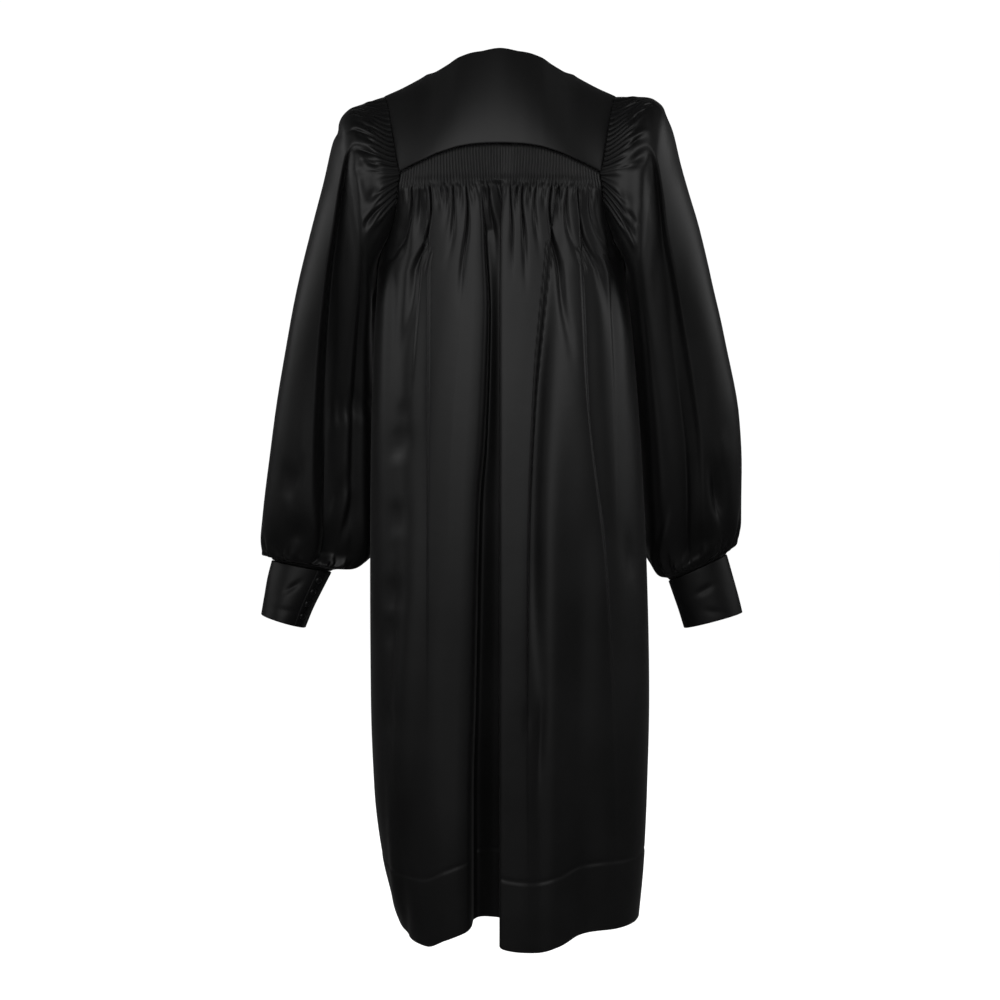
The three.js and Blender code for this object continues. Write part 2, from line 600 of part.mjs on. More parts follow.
// A closed wall on a surface. Each row has its v and the places of its outer and inner points
// across. facing is -1 where the surface's own direction points in, rib raises outer points,
// trim keeps the wall off its neighbours at both ends of a row, and step is how far apart the
// surface is read for the direction it faces.
function wall(shape) {
  const { surface, rows, thickness, facing = 1, rib = () => 0 } = shape;
  const { closed = false, trim = 0, step = 1e-4 } = shape;
  const points = [];
  const add = (share, v, push) => {
    const u = trim + share * (1 - 2 * trim);
    const du = surface(u + step, v).sub(surface(u - step, v));
    const dv = surface(u, v + step).sub(surface(u, v - step));
    const normal = du.cross(dv).normalize();
    points.push(surface(u, v).addScaledVector(normal, facing * push));
    return { u: share, id: points.length - 1 };
  };
  const half = thickness / 2;
  const outer = rows.map(({ v, out }) => out.map((u) => add(u, v, half + rib(u, v))));
  const inner = rows.map(({ v, inn, out }) => (inn ?? out).map((u) => add(u, v, -half)));
  const faces = [];
  const last = rows.length - 1;
  for (let k = 0; k < last; k += 1) {
    bridge(outer[k], outer[k + 1], faces);
    bridge(inner[k], inner[k + 1], faces, true);
  }
  bridge(inner[0], outer[0], faces);
  bridge(outer[last], inner[last], faces);
  if (!closed) {
    for (let k = 0; k < last; k += 1) {
      const [a, b, c, d] = [outer[k], outer[k + 1], inner[k + 1], inner[k]];
      faces.push([a[0].id, b[0].id, c[0].id], [a[0].id, c[0].id, d[0].id]);
      const [e, f, g, h] = [a.at(-1).id, b.at(-1).id, c.at(-1).id, d.at(-1).id];
      faces.push([f, e, h], [f, h, g]);
    }
  }
  let volume = 0;
  for (const [a, b, c] of faces) {
    volume += points[a].dot(new THREE.Vector3().crossVectors(points[b], points[c]));
  }
  const turned = volume < 0 ? faces.map(([a, b, c]) => [a, c, b]) : faces;
  const geometry = new THREE.BufferGeometry();
  const flat = points.flatMap((p) => [p.x, p.y, p.z]);
  geometry.setAttribute("position", new THREE.Float32BufferAttribute(flat, 3));
  geometry.setIndex(turned.flat());
  geometry.computeVertexNormals();
  return geometry;
}

const spaced = (count, from = 0, to = 1) =>
  Array.from({ length: count + 1 }, (_, i) => from + ((to - from) * i) / count);
const apart = (u, others) => others.every((other) => Math.abs(other - u) > 0.007);
const rowsOf = (places, columns) => places.map((v) => ({ v, ...columns }));

// Materials: black satin, a shade darker on the interfaced yoke and cuffs
const satin = new THREE.MeshStandardMaterial({ color: 0x151516, roughness: 0.5, metalness: 0 });
const facedSatin = new THREE.MeshStandardMaterial({
  color: 0x121213,
  roughness: 0.55,
  metalness: 0,
});
const buttonSatin = new THREE.MeshStandardMaterial({
  color: 0x101011,
  roughness: 0.45,
  metalness: 0,
});

const robe = new THREE.Group();
function addPiece(name, geometry, material) {
  const mesh = new THREE.Mesh(geometry, material);
  mesh.name = name;
  robe.add(mesh);
  return mesh;
}

// Yoke
const yokeRows = rowsOf([0, 0.06, 0.14, 0.25, 0.38, 0.52, 0.66, 0.8, 0.91, 1], {
  out: spaced(32, -1, 1),
});
addPiece("yoke", wall({ surface: yokePoint, rows: yokeRows, thickness: yokeCloth }), facedSatin);

// Back, in two halves with the stitched pleats along their tops
function addBack(side) {
  const name = sideName(side);
  const surface = (u, v) => backPoint(u, v, side);
  const band = (u) => {
    const top = yokePoint(side * u, 1).z;
    return (top - bandBottom) / (top - hem[name](u));
  };
  const rib = (u, v) =>
    v < band(u) + 0.006 ? fluteHeight * 0.5 * (1 - Math.cos(2 * Math.PI * flutes * u)) : 0;
  const valleys = gathers[name].flatMap(({ at }) => [at - 0.02, at, at + 0.02]);
  const gathered = [0, ...valleys, 0.93, 1];
  const turned = side > 0 ? pleatLeft.map((row) => row.share) : pleatRight.map((row) => row.share);
  const folded = [...turned, ...spaced(side > 0 ? 18 : 22, turned.at(-1), 1).slice(1)];
  const zigzag = spaced(2 * flutes);
  const opened = [...new Set([...turned, ...gathered])]
    .sort((a, b) => a - b)
    .filter((u, i, all) => turned.includes(u) || u === 1 || apart(u, turned) && u - all[i - 1] > 0.007);
  const rows = [
    ...rowsOf(backPlaces.slice(0, 2), { out: zigzag, inn: spaced(flutes) }),
    ...rowsOf(backPlaces.slice(2, 3), { out: zigzag, inn: opened }),
    ...rowsOf(backPlaces.slice(3, 7), { out: opened }),
    ...rowsOf(backPlaces.slice(7), { out: folded }),
  ];
  const geometry = wall({ surface, rows, thickness: bodyCloth, facing: side, rib, trim: 0.0016 });
  addPiece(`back_${name}`, geometry, satin);
}

// Front, in two halves that meet at the centre
function addFront(side) {
  const surface = (u, v) => frontPoint(u, v, side);
  const columns = [...spaced(9, 0, frontNeckShare), ...spaced(12, frontNeckShare, 1).slice(1)];
  const rows = rowsOf(frontPlaces, { out: columns });
  const geometry = wall({ surface, rows, thickness: bodyCloth, facing: -side, trim: 0.0012 });
  addPiece(`front_${sideName(side)}`, geometry, satin);
}

// Sleeves, with stitched pleats round the head and gathers at the wrist
function addSleeve(side) {
  const surface = (u, s) => sleevePoint(u, s, side);
  const backShare = [0.01, 0.33];
  const frontShare = [0.75, 0.97];
  const head = [
    0,
    ...spaced(2 * sleeveFlutesBack, ...backShare),
    ...spaced(20, backShare[1], frontShare[0]).slice(1, -1),
    ...spaced(2 * sleeveFlutesFront, ...frontShare),
    0.985,
    1,
  ];
  const ribAt = (u, [from, to], count) => {
    const t = (u - from) / (to - from);
    return t >= 0 && t <= 1 ? 0.5 * (1 - Math.cos(2 * Math.PI * count * t)) : 0;
  };
  const rib = (u, s) => {
    const height = fluteHeight * (1 - smooth((s - 1.05) / 0.3));
    const back = ribAt(u, backShare, sleeveFlutesBack);
    return height * (back + ribAt(u, frontShare, sleeveFlutesFront));
  };
  const round = spaced(32);
  const valleys = [
    0,
    ...spaced(sleeveFlutesBack, ...backShare),
    ...spaced(20, backShare[1], frontShare[0]).slice(1, -1),
    ...spaced(sleeveFlutesFront, ...frontShare),
    0.985,
    1,
  ];
  const gathered = spaced(2 * headGathers);
  const wrist = spaced(2 * wristGathers);
  const rows = [
    { v: 0, out: head, inn: valleys },
    { v: 0.5, out: head, inn: valleys },
    { v: 1, out: head, inn: gathered },
    ...rowsOf([1.3, 1.75], { out: gathered }),
    ...rowsOf([2.3, 3, 3.9, 4.9, 6, 7.1, 8.2, 9.2], { out: round }),
    ...rowsOf([9.9, 10.5, 11, 11.5, sleeveEnd], { out: wrist }),
  ];
  const shape = { surface, rows, thickness: bodyCloth, facing: -side, rib, closed: true, step: 0.01 };
  addPiece(`sleeve_${sideName(side)}`, wall(shape), satin);
}

// Cuffs, each closed by a row of covered buttons
function addCuff(side) {
  const name = sideName(side);
  const surface = (u, s) => cuffPoint(u, s, side);
  const rows = rowsOf(spaced(3, 0, cuffEnd), { out: spaced(24) });
  const shape = { surface, rows, thickness: cuffCloth, facing: -side, closed: true };
  addPiece(`cuff_${name}`, wall(shape), facedSatin);
  const profile = [
    new THREE.Vector2(0, 0),
    new THREE.Vector2(buttonRadius * 0.9, 0),
    new THREE.Vector2(buttonRadius, buttonHeight * 0.4),
    new THREE.Vector2(buttonRadius * 0.7, buttonHeight * 0.85),
    new THREE.Vector2(0, buttonHeight),
  ];
  const u = buttonAngle[name] / 360;
  for (let i = 0; i < cuffButtons; i += 1) {
    const s = cuffEnd * (0.17 + (0.64 * i) / (cuffButtons - 1));
    const at = surface(u, s);
    const round = surface(u + 0.002, s).sub(surface(u - 0.002, s));
    const down = surface(u, s + 0.02).sub(surface(u, s - 0.02));
    const out = round.cross(down).normalize().multiplyScalar(-side);
    const geometry = new THREE.LatheGeometry(profile, 12);
    const mesh = addPiece(`cuff_${name}_button_${i + 1}`, geometry, buttonSatin);
    mesh.position.copy(at).addScaledVector(out, cuffCloth / 2 + 0.6);
    mesh.quaternion.setFromUnitVectors(new THREE.Vector3(0, 1, 0), out);
  }
}

for (const side of [1, -1]) {
  addBack(side);
  addFront(side);
  addSleeve(side);
  addCuff(side);
}

export default robe;
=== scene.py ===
import math
import bpy
import numpy as np
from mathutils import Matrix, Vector


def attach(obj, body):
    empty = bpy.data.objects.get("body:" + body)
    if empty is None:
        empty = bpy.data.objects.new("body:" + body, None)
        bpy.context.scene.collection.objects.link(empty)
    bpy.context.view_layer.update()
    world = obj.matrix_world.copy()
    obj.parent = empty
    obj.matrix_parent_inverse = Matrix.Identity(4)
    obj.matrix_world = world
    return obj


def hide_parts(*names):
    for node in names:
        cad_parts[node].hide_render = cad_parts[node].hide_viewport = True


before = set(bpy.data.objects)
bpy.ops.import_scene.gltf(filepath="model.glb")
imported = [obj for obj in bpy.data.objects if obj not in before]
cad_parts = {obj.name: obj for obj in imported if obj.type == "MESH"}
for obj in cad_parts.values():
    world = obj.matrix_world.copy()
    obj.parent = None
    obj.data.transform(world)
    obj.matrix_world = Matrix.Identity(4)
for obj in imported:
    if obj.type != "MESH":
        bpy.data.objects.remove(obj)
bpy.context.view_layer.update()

# a black satin clergy robe, seen from behind, filled out as when worn
# all tables are in millimetres, +x is the wearer's left and the back faces +y
millimetre = 0.001
sideNames = {1: "left", -1: "right"}


def smooth(t):
    c = np.clip(t, 0.0, 1.0)
    return c * c * (3 - 2 * c)


def power(base, exponent):
    return np.sign(base) * np.abs(base) ** exponent


# a smooth line through a short table, with no overshoot between its rows
def track(stations, values):
    x, y = np.array(stations, float), np.array(values, float)
    if x[0] > x[-1]:
        x, y = x[::-1], y[::-1]
    gap = np.diff(x)
    secant = np.diff(y) / gap
    slope = np.empty_like(y)
    slope[0], slope[-1] = secant[0], secant[-1]
    before, after = secant[:-1], secant[1:]
    total = np.where(before * after > 0, before + after, 1.0)
    slope[1:-1] = np.where(before * after > 0, 2 * before * after / total, 0.0)

    def at(q):
        q = np.clip(q, x[0], x[-1])
        i = np.clip(np.searchsorted(x, q, side="right") - 1, 0, len(x) - 2)
        t = (q - x[i]) / gap[i]
        ends = (1 + 2 * t) * (1 - t) ** 2 * y[i] + t * t * (3 - 2 * t) * y[i + 1]
        lean = t * (1 - t) ** 2 * slope[i] - t * t * (1 - t) * slope[i + 1]
        return ends + lean * gap[i]

    return at


# the same line read either side of the centre, level as it crosses it
def mirrored(stations, values):
    return track([-x for x in stations[:0:-1]] + stations, values[:0:-1] + values)


def tracks(table, by):
    return {name: track(table[by], table[name]) for name in table if name != by}


# soft unevenness of hung cloth: a few long waves with fixed phases
def unevenness(x, z, seed, tall=3.0, size=38.0):
    rng = np.random.default_rng(seed)
    total = 0
    for _ in range(9):
        turn = rng.uniform(-0.6, 0.6)
        length = size * rng.uniform(0.6, 1.8)
        across = (x * math.cos(turn) + z / tall * math.sin(turn)) / length
        along = z / (size * tall * rng.uniform(0.8, 2.2))
        total = total + np.sin(2 * np.pi * (across + rng.random()) + np.sin(along + 6 * rng.random()) * 1.5)
    return total / 9


# small hollows (or bumps, where depth is under 0) pressed into the cloth
def hollows(rows, x, z):
    total = 0
    for row in rows:
        turn = math.radians(row["tilt"])
        dx, dz = x - row["x"], z - row["z"]
        along = dx * math.cos(turn) + dz * math.sin(turn)
        up = dz * math.cos(turn) - dx * math.sin(turn)
        total = total + row["depth"] * np.exp(-((along / row["wide"]) ** 2) - (up / row["tall"]) ** 2)
    return total


def asRows(names, values):
    return [dict(zip(names.split(), line)) for line in values]


# yoke
yoke = {
    "cloth": 2.4,
    "roundness": 1.7,
    "sidePower": 1.3,
    "ridgeY": -8,
    "frontDrop": 75,
    "frontReach": 72,
    "edgeRoll": 1.6,
    "columns": 190,
    "rows": 60,
}
shoulderLine = {
    "x": [0, 30, 57, 74, 90, 96, 102, 110, 122, 141, 171, 190],
    "ridge": [139, 114.5, 80, 48, 20.5, 11.8, 4.8, -1.8, -8.6, -18.5, -32, -43],
    "bladeY": [99, 98.7, 97, 95, 92.2, 90.8, 89.3, 87, 83, 75, 55, 42],
    "bladeZ": [-118, -119, -122.5, -127, -132, -134.4, -137, -140.2, -145, -154, -172, -183],
}
yokeLines = {
    "share": [0, 0.2, 0.4, 0.55, 0.62, 0.8, 1],
    "topX": [0, 51, 87, 104.5, 113, 142, 173],
    "topAngle": [36.3, 43.1, 57.8, 77, 98, 108, 113],
    "endX": [0, 28, 56, 77, 87, 113, 141],
}
neckShare = 0.62
shoulder = {name: mirrored(shoulderLine["x"], shoulderLine[name]) for name in ("ridge", "bladeY", "bladeZ")}
yokeEdge = {name: track(yokeLines["share"], yokeLines[name]) for name in ("topX", "endX")}
yokeEdge["topAngle"] = mirrored(yokeLines["share"], yokeLines["topAngle"])


def yokePoint(u, v):
    u, v = np.broadcast_arrays(np.asarray(u, float), np.asarray(v, float))
    share, side = np.abs(u), np.where(u < 0, -1.0, 1.0)
    topX, endX = yokeEdge["topX"](share), yokeEdge["endX"](share)
    x = endX + (topX - endX) * (1 - power(v, yoke["sidePower"]))
    angle = np.radians(yokeEdge["topAngle"](share) * (1 - v))
    rise = power(np.sin(angle), 2 / yoke["roundness"])
    reach = power(np.cos(angle), 2 / yoke["roundness"])
    ridge, bladeY, bladeZ = (shoulder[name](x) for name in ("ridge", "bladeY", "bladeZ"))
    frontY = yoke["ridgeY"] + yoke["frontReach"] * reach
    frontZ = ridge - yoke["frontDrop"] * (1 - rise)
    backY = yoke["ridgeY"] + (bladeY - yoke["ridgeY"]) * reach
    backZ = bladeZ + (ridge - bladeZ) * rise
    front = reach < 0
    return np.stack([side * x, np.where(front, frontY, backY), np.where(front, frontZ, backZ)], -1)


# back and front
body = {
    "cloth": 1.3,
    "sectionPower": 2.5,
    "seamGap": 0.4,
    "flutes": 34,
    "fluteHeight": 1.5,
    "fluteSink": 1.5,
    "fluteRoundness": 0.8,
    "bandBottom": -172,
    "puff": 2.0,
    "puffReach": 120,
    "gatherWidth": (0.009, 0.017),
    "gatherDepth": (0.4, 0.5),
    "gatherBend": 0.007,
    "fineGather": 1.5,
    "frontHem": -1226,
    "frontHemRise": 14,
    "hemDepth": 92,
    "hemStep": 0.5,
    "hemStitch": 0.22,
    "hemDip": 0.5,
    "foldEdge": 3.4,
    "backWaves": 0.7,
    "frontWaves": 1.2,
    "allowance": 4.5,
    "allowanceSink": 2.8,
    "grooveDepth": 2.2,
    "backTuck": (0.5, 2.0),
    "frontTuck": (1.5, 2.0),
    "sideTuck": 2.0,
    "sideTuckTop": -300,
    "backColumnsPerFlute": 8,
}
bodySections = {
    "z": [0, -110, -200, -290, -400, -540, -700, -900, -1030, -1130, -1234],
    "left": [150, 164, 170, 176, 182, 186, 187, 186, 181, 168, 138],
    "right": [150, 164, 171, 181, 193, 203, 211, 215, 212, 207, 197],
    "back": [84, 98, 105, 110, 115, 121, 128, 136, 140, 143, 146],
    "front": [72, 86, 98, 104, 107, 110, 114, 120, 125, 130, 134],
}
armholeAngles = {
    "z": [0, -150, -200, -240, -270, -288, -340, -1240],
    "back": [63, 65, 65.6, 69, 80, 90, 90, 90],
    "front": [60, 69, 68, 70, 80, 90, 90, 90],
}
spreadAngles = {
    "z": [-150, -190, -240, -300, -400, -520, -620],
    "angle": [65, 65.6, 67.5, 71.5, 79, 87, 90],
}
hemLine = {
    "share": [0, 0.13, 0.22, 0.34, 0.46, 0.6, 0.8, 1],
    "left": [-1204, -1198, -1206, -1224, -1235, -1233, -1224, -1213],
    "right": [-1224, -1236, -1237, -1230, -1219, -1214, -1213, -1211],
}
# where each gather lies across half of the back, how deep it is and how far down it runs
gathers = {
    1: asRows("at deep run", [
        (0.047, 4, 60), (0.139, 3.5, 130), (0.213, 2, 80), (0.29, 3, 40), (0.355, 5, 150),
        (0.42, 3, 45), (0.483, 5, 95), (0.545, 4, 60), (0.62, 3, 40), (0.69, 6, 210),
        (0.78, 5, 70), (0.86, 5.5, 110),
    ]),
    -1: asRows("at deep run", [
        (0.06, 3, 35), (0.12, 5, 110), (0.18, 3.5, 45), (0.251, 5, 120), (0.32, 3, 40),
        (0.38, 4.5, 85), (0.46, 3, 40), (0.52, 6, 220), (0.6, 4, 60), (0.66, 5, 100),
        (0.76, 5.5, 190), (0.87, 5, 90),
    ]),
}
foldHeights = [-200, -330, -480, -700, -950, -1200]
backFolds = asRows("x depth width steep", [
    ([104, 117, 124, 124, 124, 124], [5, 4, 0, 0, 0, 0], 12, -1),
    ([150, 152, 154, 152, 148, 132], [3, 4, 2.5, 2, 3, 3], 13, 0),
    ([-78, -64, -50, -41, -39, -42], [6, 9, 13, 13, 1.5, 0], 12, 1),
    ([-111, -116, -122, -147, -160, -165], [4, 6, 6, 4, 0.5, 0], 15, 1),
    ([-111, -116, -122, -147, -160, -165], [-2, -5, -7, -5, -0.5, 0], 22, -1),
    ([-54, -54, -54, -54, -55, -56], [0, 0, 0, 2, 4.5, 2], 13, 0),
    ([-110, -110, -108, -108, -112, -122], [0, 0, 0, 4, 9, 16], 32, 0),
    ([101, 101.5, 102, 102, 102, 101], [3, 5, 6, 2.5, 0, 0], 18, -1),
    ([128, 128, 128, 128, 140, 146], [0, 0, 0, -3, -8, -3], 20, 0),
    ([62, 62, 62, 62, 56, 50], [0, 0, 0, 2, 7, 6], 26, 0),
    ([-147, -158, -162, -166, -168, -170], [2.5, 4, 1.5, 0, 0, 0], 9, 1),
])
frontFolds = asRows("x depth width steep", [
    ([30, 34, 38, 44, 50, 54], [0, 1, 4, 9, 13, 17], 16, 0),
    ([70, 76, 82, 92, 100, 104], [0, 3, 6, 10, 13, 16], 17, 0),
    ([118, 124, 128, 136, 142, 138], [1, 3, 5, 7, 9, 10], 15, 0),
])
# the deep pleat at the centre back, as one level line through it
pleatTables = {
    -1: {
        "share": [0, 0.025, 0.043, 0.06, 0.085, 0.14],
        "across": [-15, -5, 0.3, -2, -10, -28],
        "inward": [10, 8.6, 5, 0.8, 0, 0],
    },
    1: {
        "share": [0, 0.03, 0.045, 0.06, 0.08, 0.13, 0.18, 0.205, 0.23, 0.26, 0.295, 0.34],
        "across": [-15, -22.5, -23.5, -21, -12, 3, 15, 19, 22, 31, 50, 72],
        "inward": [11.7, 12.6, 14.5, 17, 18.5, 22, 28, 24, 9, 2, 0, 0],
    },
}
pleatEdge = 18.6  # how far across the left half turns back up out of the pleat
pleatGrowth = {
    "z": [-172, -205, -240, -350, -450, -540, -620, -900, -1030, -1240],
    "open": [0, 0.35, 0.85, 1, 1, 1, 1, 1, 1, 1],
    "wide": [1, 1.05, 1.05, 0.8, 0.92, 1.14, 1.5, 1.83, 2, 2],
    "deep": [0.4, 0.45, 0.55, 0.75, 0.95, 1.1, 1.3, 1.7, 1.85, 2],
}
backHollows = asRows("x z wide tall tilt depth", [
    (142, -535, 15, 6, 8, 6.5),
    (138, -500, 10, 7, 0, 3),
    (145, -640, 13, 6, 0, 5),
    (150, -685, 12, 6, -6, 4),
    (149, -745, 15, 6, 4, 5.5),
    (152, -800, 12, 6, 0, 3),
    (153, -918, 14, 7, 10, 4.5),
    (137, -250, 8, 30, 4, 4.5),
    (136, -289, 13, 5, 0, -2.4),
    (22, -240, 4, 6, 20, 1.2),
    (-153, -193, 6, 6, 30, 2.6),
    (-157, -221, 6, 7, -20, 2.6),
    (-164, -249, 6, 7, 30, 2.6),
    (-168, -286, 6, 12, 0, 2.4),
    (-183, -697, 9, 26, -8, 3.6),
    (-56, -946, 6, 56, 4, 2.6),
    (-36, -922, 5, 14, -30, 2.4),
])
bodySize = tracks(bodySections, "z")
armholeAngle = tracks(armholeAngles, "z")
spread = track(spreadAngles["z"], spreadAngles["angle"])
hem = tracks(hemLine, "share")
growth = tracks(pleatGrowth, "z")
pleat = {side: tracks(pleatTables[side], "share") for side in pleatTables}
for fold in backFolds + frontFolds:
    fold["xAt"] = track(foldHeights, fold["x"])
    fold["depthAt"] = track(foldHeights, fold["depth"])


# a level section of the body: place and outward direction, the angle starting at the back
def section(angle, side, z):
    a = bodySize[sideNames[side]](z)
    sine, cosine = np.sin(angle), np.cos(angle)
    b = np.where(cosine >= 0, bodySize["back"](z), bodySize["front"](z))
    p = body["sectionPower"]
    r = (np.abs(sine / a) ** p + np.abs(cosine / b) ** p) ** (-1 / p)
    nx, ny = power(r * sine / a, p - 1) / a, power(r * cosine / b, p - 1) / b
    size = np.hypot(nx, ny)
    return side * r * sine, r * cosine, side * nx / size, ny / size


def plainAngle(u, z, panel):
    share = np.maximum(0, u) ** 3
    return np.radians(u * (armholeAngle[panel](z) * share + spread(z) * (1 - share)))


# a fold is full on one side up to a crisp edge, and comes slowly back out on the other
def foldShape(away, steep, width, edge):
    soft = np.exp(-((away / (width * (1.5 if steep else 1.0))) ** 2))
    return np.where(away * steep > 0, 1 - smooth(away * steep / edge), soft)


def foldDepth(folds, x, z, flat):
    total = 0
    for fold in folds:
        away = (x - fold["xAt"](z)) / np.maximum(0.35, flat)
        total = total + fold["depthAt"](z) * foldShape(away, fold["steep"], fold["width"], body["foldEdge"])
    return total


# the cloth puffs out under the stitched pleats, between the gathers, and long gathers are deeper
def gatherShape(u, side, z):
    drop = body["bandBottom"] - z
    narrow, widening = body["gatherWidth"]
    shallow, deepening = body["gatherDepth"]
    valleys = 0
    for row in gathers[side]:
        width = narrow + widening * smooth(drop / row["run"])
        fade = 1 - smooth(drop / row["run"] - 0.3)
        bend = body["gatherBend"] * np.sin(drop / 19 + 40 * row["at"])
        deep = row["deep"] * (shallow + deepening * smooth((row["run"] - 40) / 110))
        valleys = valleys + deep * fade * np.exp(-(((u - row["at"] - bend) / width) ** 2))
    puff = body["puff"] * (1 - smooth((drop - 20) / body["puffReach"]))
    pinch = 0.6 + 0.5 * np.sin(31 * u + 2.0) * np.sin(13 * u)
    fine = body["fineGather"] * np.sin(2 * np.pi * body["flutes"] / 2 * u + 3 * np.sin(9 * u) + drop / 14)
    fine = fine * pinch * (1 - smooth(drop / (20 + 22 * pinch)))
    return smooth(drop / 9) * (puff - valleys + fine)


# a double hem: a small step, a raised line of stitches at its top and a dip above them
def hemRelief(z, hemZ, x):
    above = z - (hemZ + body["hemDepth"])
    uneven = 1 + 0.4 * np.sin(x / 6.0 + np.sin(x / 31))
    stitched = body["hemStitch"] * np.exp(-((above / 1.5) ** 2)) * uneven
    dip = body["hemDip"] * np.exp(-(((above - 4) / 3.0) ** 2))
    return body["hemStep"] * (1 - smooth(above / 3 + 0.5)) + stitched - dip


# the plain back, before its folds: place and outward direction
def plainBack(u, z, side):
    top = yokePoint(side * u, 1.0)
    topZ = top[..., 2] - body["seamGap"]
    atX, atY, outX, outY = section(plainAngle(u, z, "back"), side, z)
    startX, startY, _, _ = section(plainAngle(u, topZ, "back"), side, topZ)
    fade = 1 - smooth((topZ - z) / 90)
    x = atX + (side * np.abs(top[..., 0]) - startX) * fade
    return x, atY + (top[..., 1] - startY) * fade, outX, outY


def backPoint(u, v, side):
    u, v = np.broadcast_arrays(np.asarray(u, float), np.asarray(v, float))
    name = sideNames[side]
    topZ = yokePoint(side * u, 1.0)[..., 2] - body["seamGap"]
    hemZ = hem[name](u)
    z = topZ + (hemZ - topZ) * v
    x, y, outX, outY = plainBack(u, z, side)
    edge = smooth((1 - u) / 0.1)
    soft = smooth((body["bandBottom"] + 8 - z) / 60) * edge
    out = -foldDepth(backFolds, x, z, np.abs(outY)) * soft
    out = out + gatherShape(u, side, z) * edge * smooth(u / 0.04)
    out = out - body["fluteSink"] * (1 - smooth((body["bandBottom"] - z) / 12 + 1))
    waves = body["backWaves"] * unevenness(x, z, 5, tall=2.2, size=60)
    out = out - hollows(backHollows, x, z) + waves * soft
    out = out - body["grooveDepth"] * np.exp(-(np.maximum(0, topZ - z) / 2.2) ** 2)
    out = out + hemRelief(z, hemZ, x) - body["allowanceSink"] * smooth(-v / 0.0012)
    reach = pleatTables[side]["share"][-1]
    near = u < reach
    opened = growth["open"](z)
    across = pleat[side]["across"](u)
    target, deep, ease = across, 1.0, smooth((reach - u) / 0.06)
    if side > 0:
        deep = 1 + (growth["deep"](z) - 1) * smooth((u - 0.03) / 0.1)
        target = np.where(across > 0, np.minimum(across, pleatEdge) * growth["wide"](z), across)
        rest = np.clip((across - pleatEdge) / (pleat[side]["across"](reach) - pleatEdge), 0, 1)
        target = target + rest * (plainBack(reach * np.ones_like(u), z, side)[0] - target)
        ease = 1.0
    moved = x + (target - x) * opened * ease
    sunk = out - pleat[side]["inward"](u) * deep * np.sqrt(np.maximum(0, opened))
    px = np.where(near, moved + outX * sunk * (1 - opened), x + outX * out)
    py = np.where(near, y + outY * sunk, y + outY * out)
    return np.stack([px, py, z], -1)


# the share of the front's top edge along the neck, and where the neck opening ends
frontNeckShare = 0.45
neckPoint = {"y": -88, "z": -128}


def frontTop(u):
    along = (np.maximum(u, frontNeckShare) - frontNeckShare) / (1 - frontNeckShare)
    share = neckShare + along * (1 - neckShare)
    edge = yokePoint(share, 0.0)
    back = yokePoint(share, 0.02) - edge
    back = back / np.linalg.norm(back, axis=-1, keepdims=True)
    seam = edge - back * (body["seamGap"] + 0.2)
    t = np.clip(u / frontNeckShare, 0, 1)
    neck = np.stack([
        seam[..., 0] * t,
        neckPoint["y"] + (seam[..., 1] - neckPoint["y"]) * t ** 1.8,
        neckPoint["z"] + (seam[..., 2] - neckPoint["z"]) * t ** 1.15,
    ], -1)
    return np.where((u >= frontNeckShare)[..., None], seam, neck)


def frontPoint(u, v, side):
    u, v = np.broadcast_arrays(np.asarray(u, float), np.asarray(v, float))
    top = frontTop(u)
    topX, topY, topZ = side * top[..., 0], top[..., 1], top[..., 2]
    hemZ = body["frontHem"] + body["frontHemRise"] * u ** 2
    z = topZ + (hemZ - topZ) * v
    atX, atY, outX, outY = section(np.pi - plainAngle(u, z, "front"), side, z)
    startX, startY, _, _ = section(np.pi - plainAngle(u, topZ, "front"), side, topZ)
    fade = np.maximum(0, 1 - (topZ - z) / (420 - 270 * smooth((u - 0.5) / 0.5))) ** 2
    x, y = atX + (topX - startX) * fade, atY + (topY - startY) * fade
    soft = smooth((-180 - z) / 200) * smooth((1 - u) / 0.12) * smooth(u / 0.1)
    out = -foldDepth(frontFolds, np.abs(x), z, np.abs(outY)) * soft
    out = out + body["frontWaves"] * unevenness(x, z, 11) * soft + hemRelief(z, hemZ, x)
    return np.stack([x + outX * out, y + outY * out, z], -1)


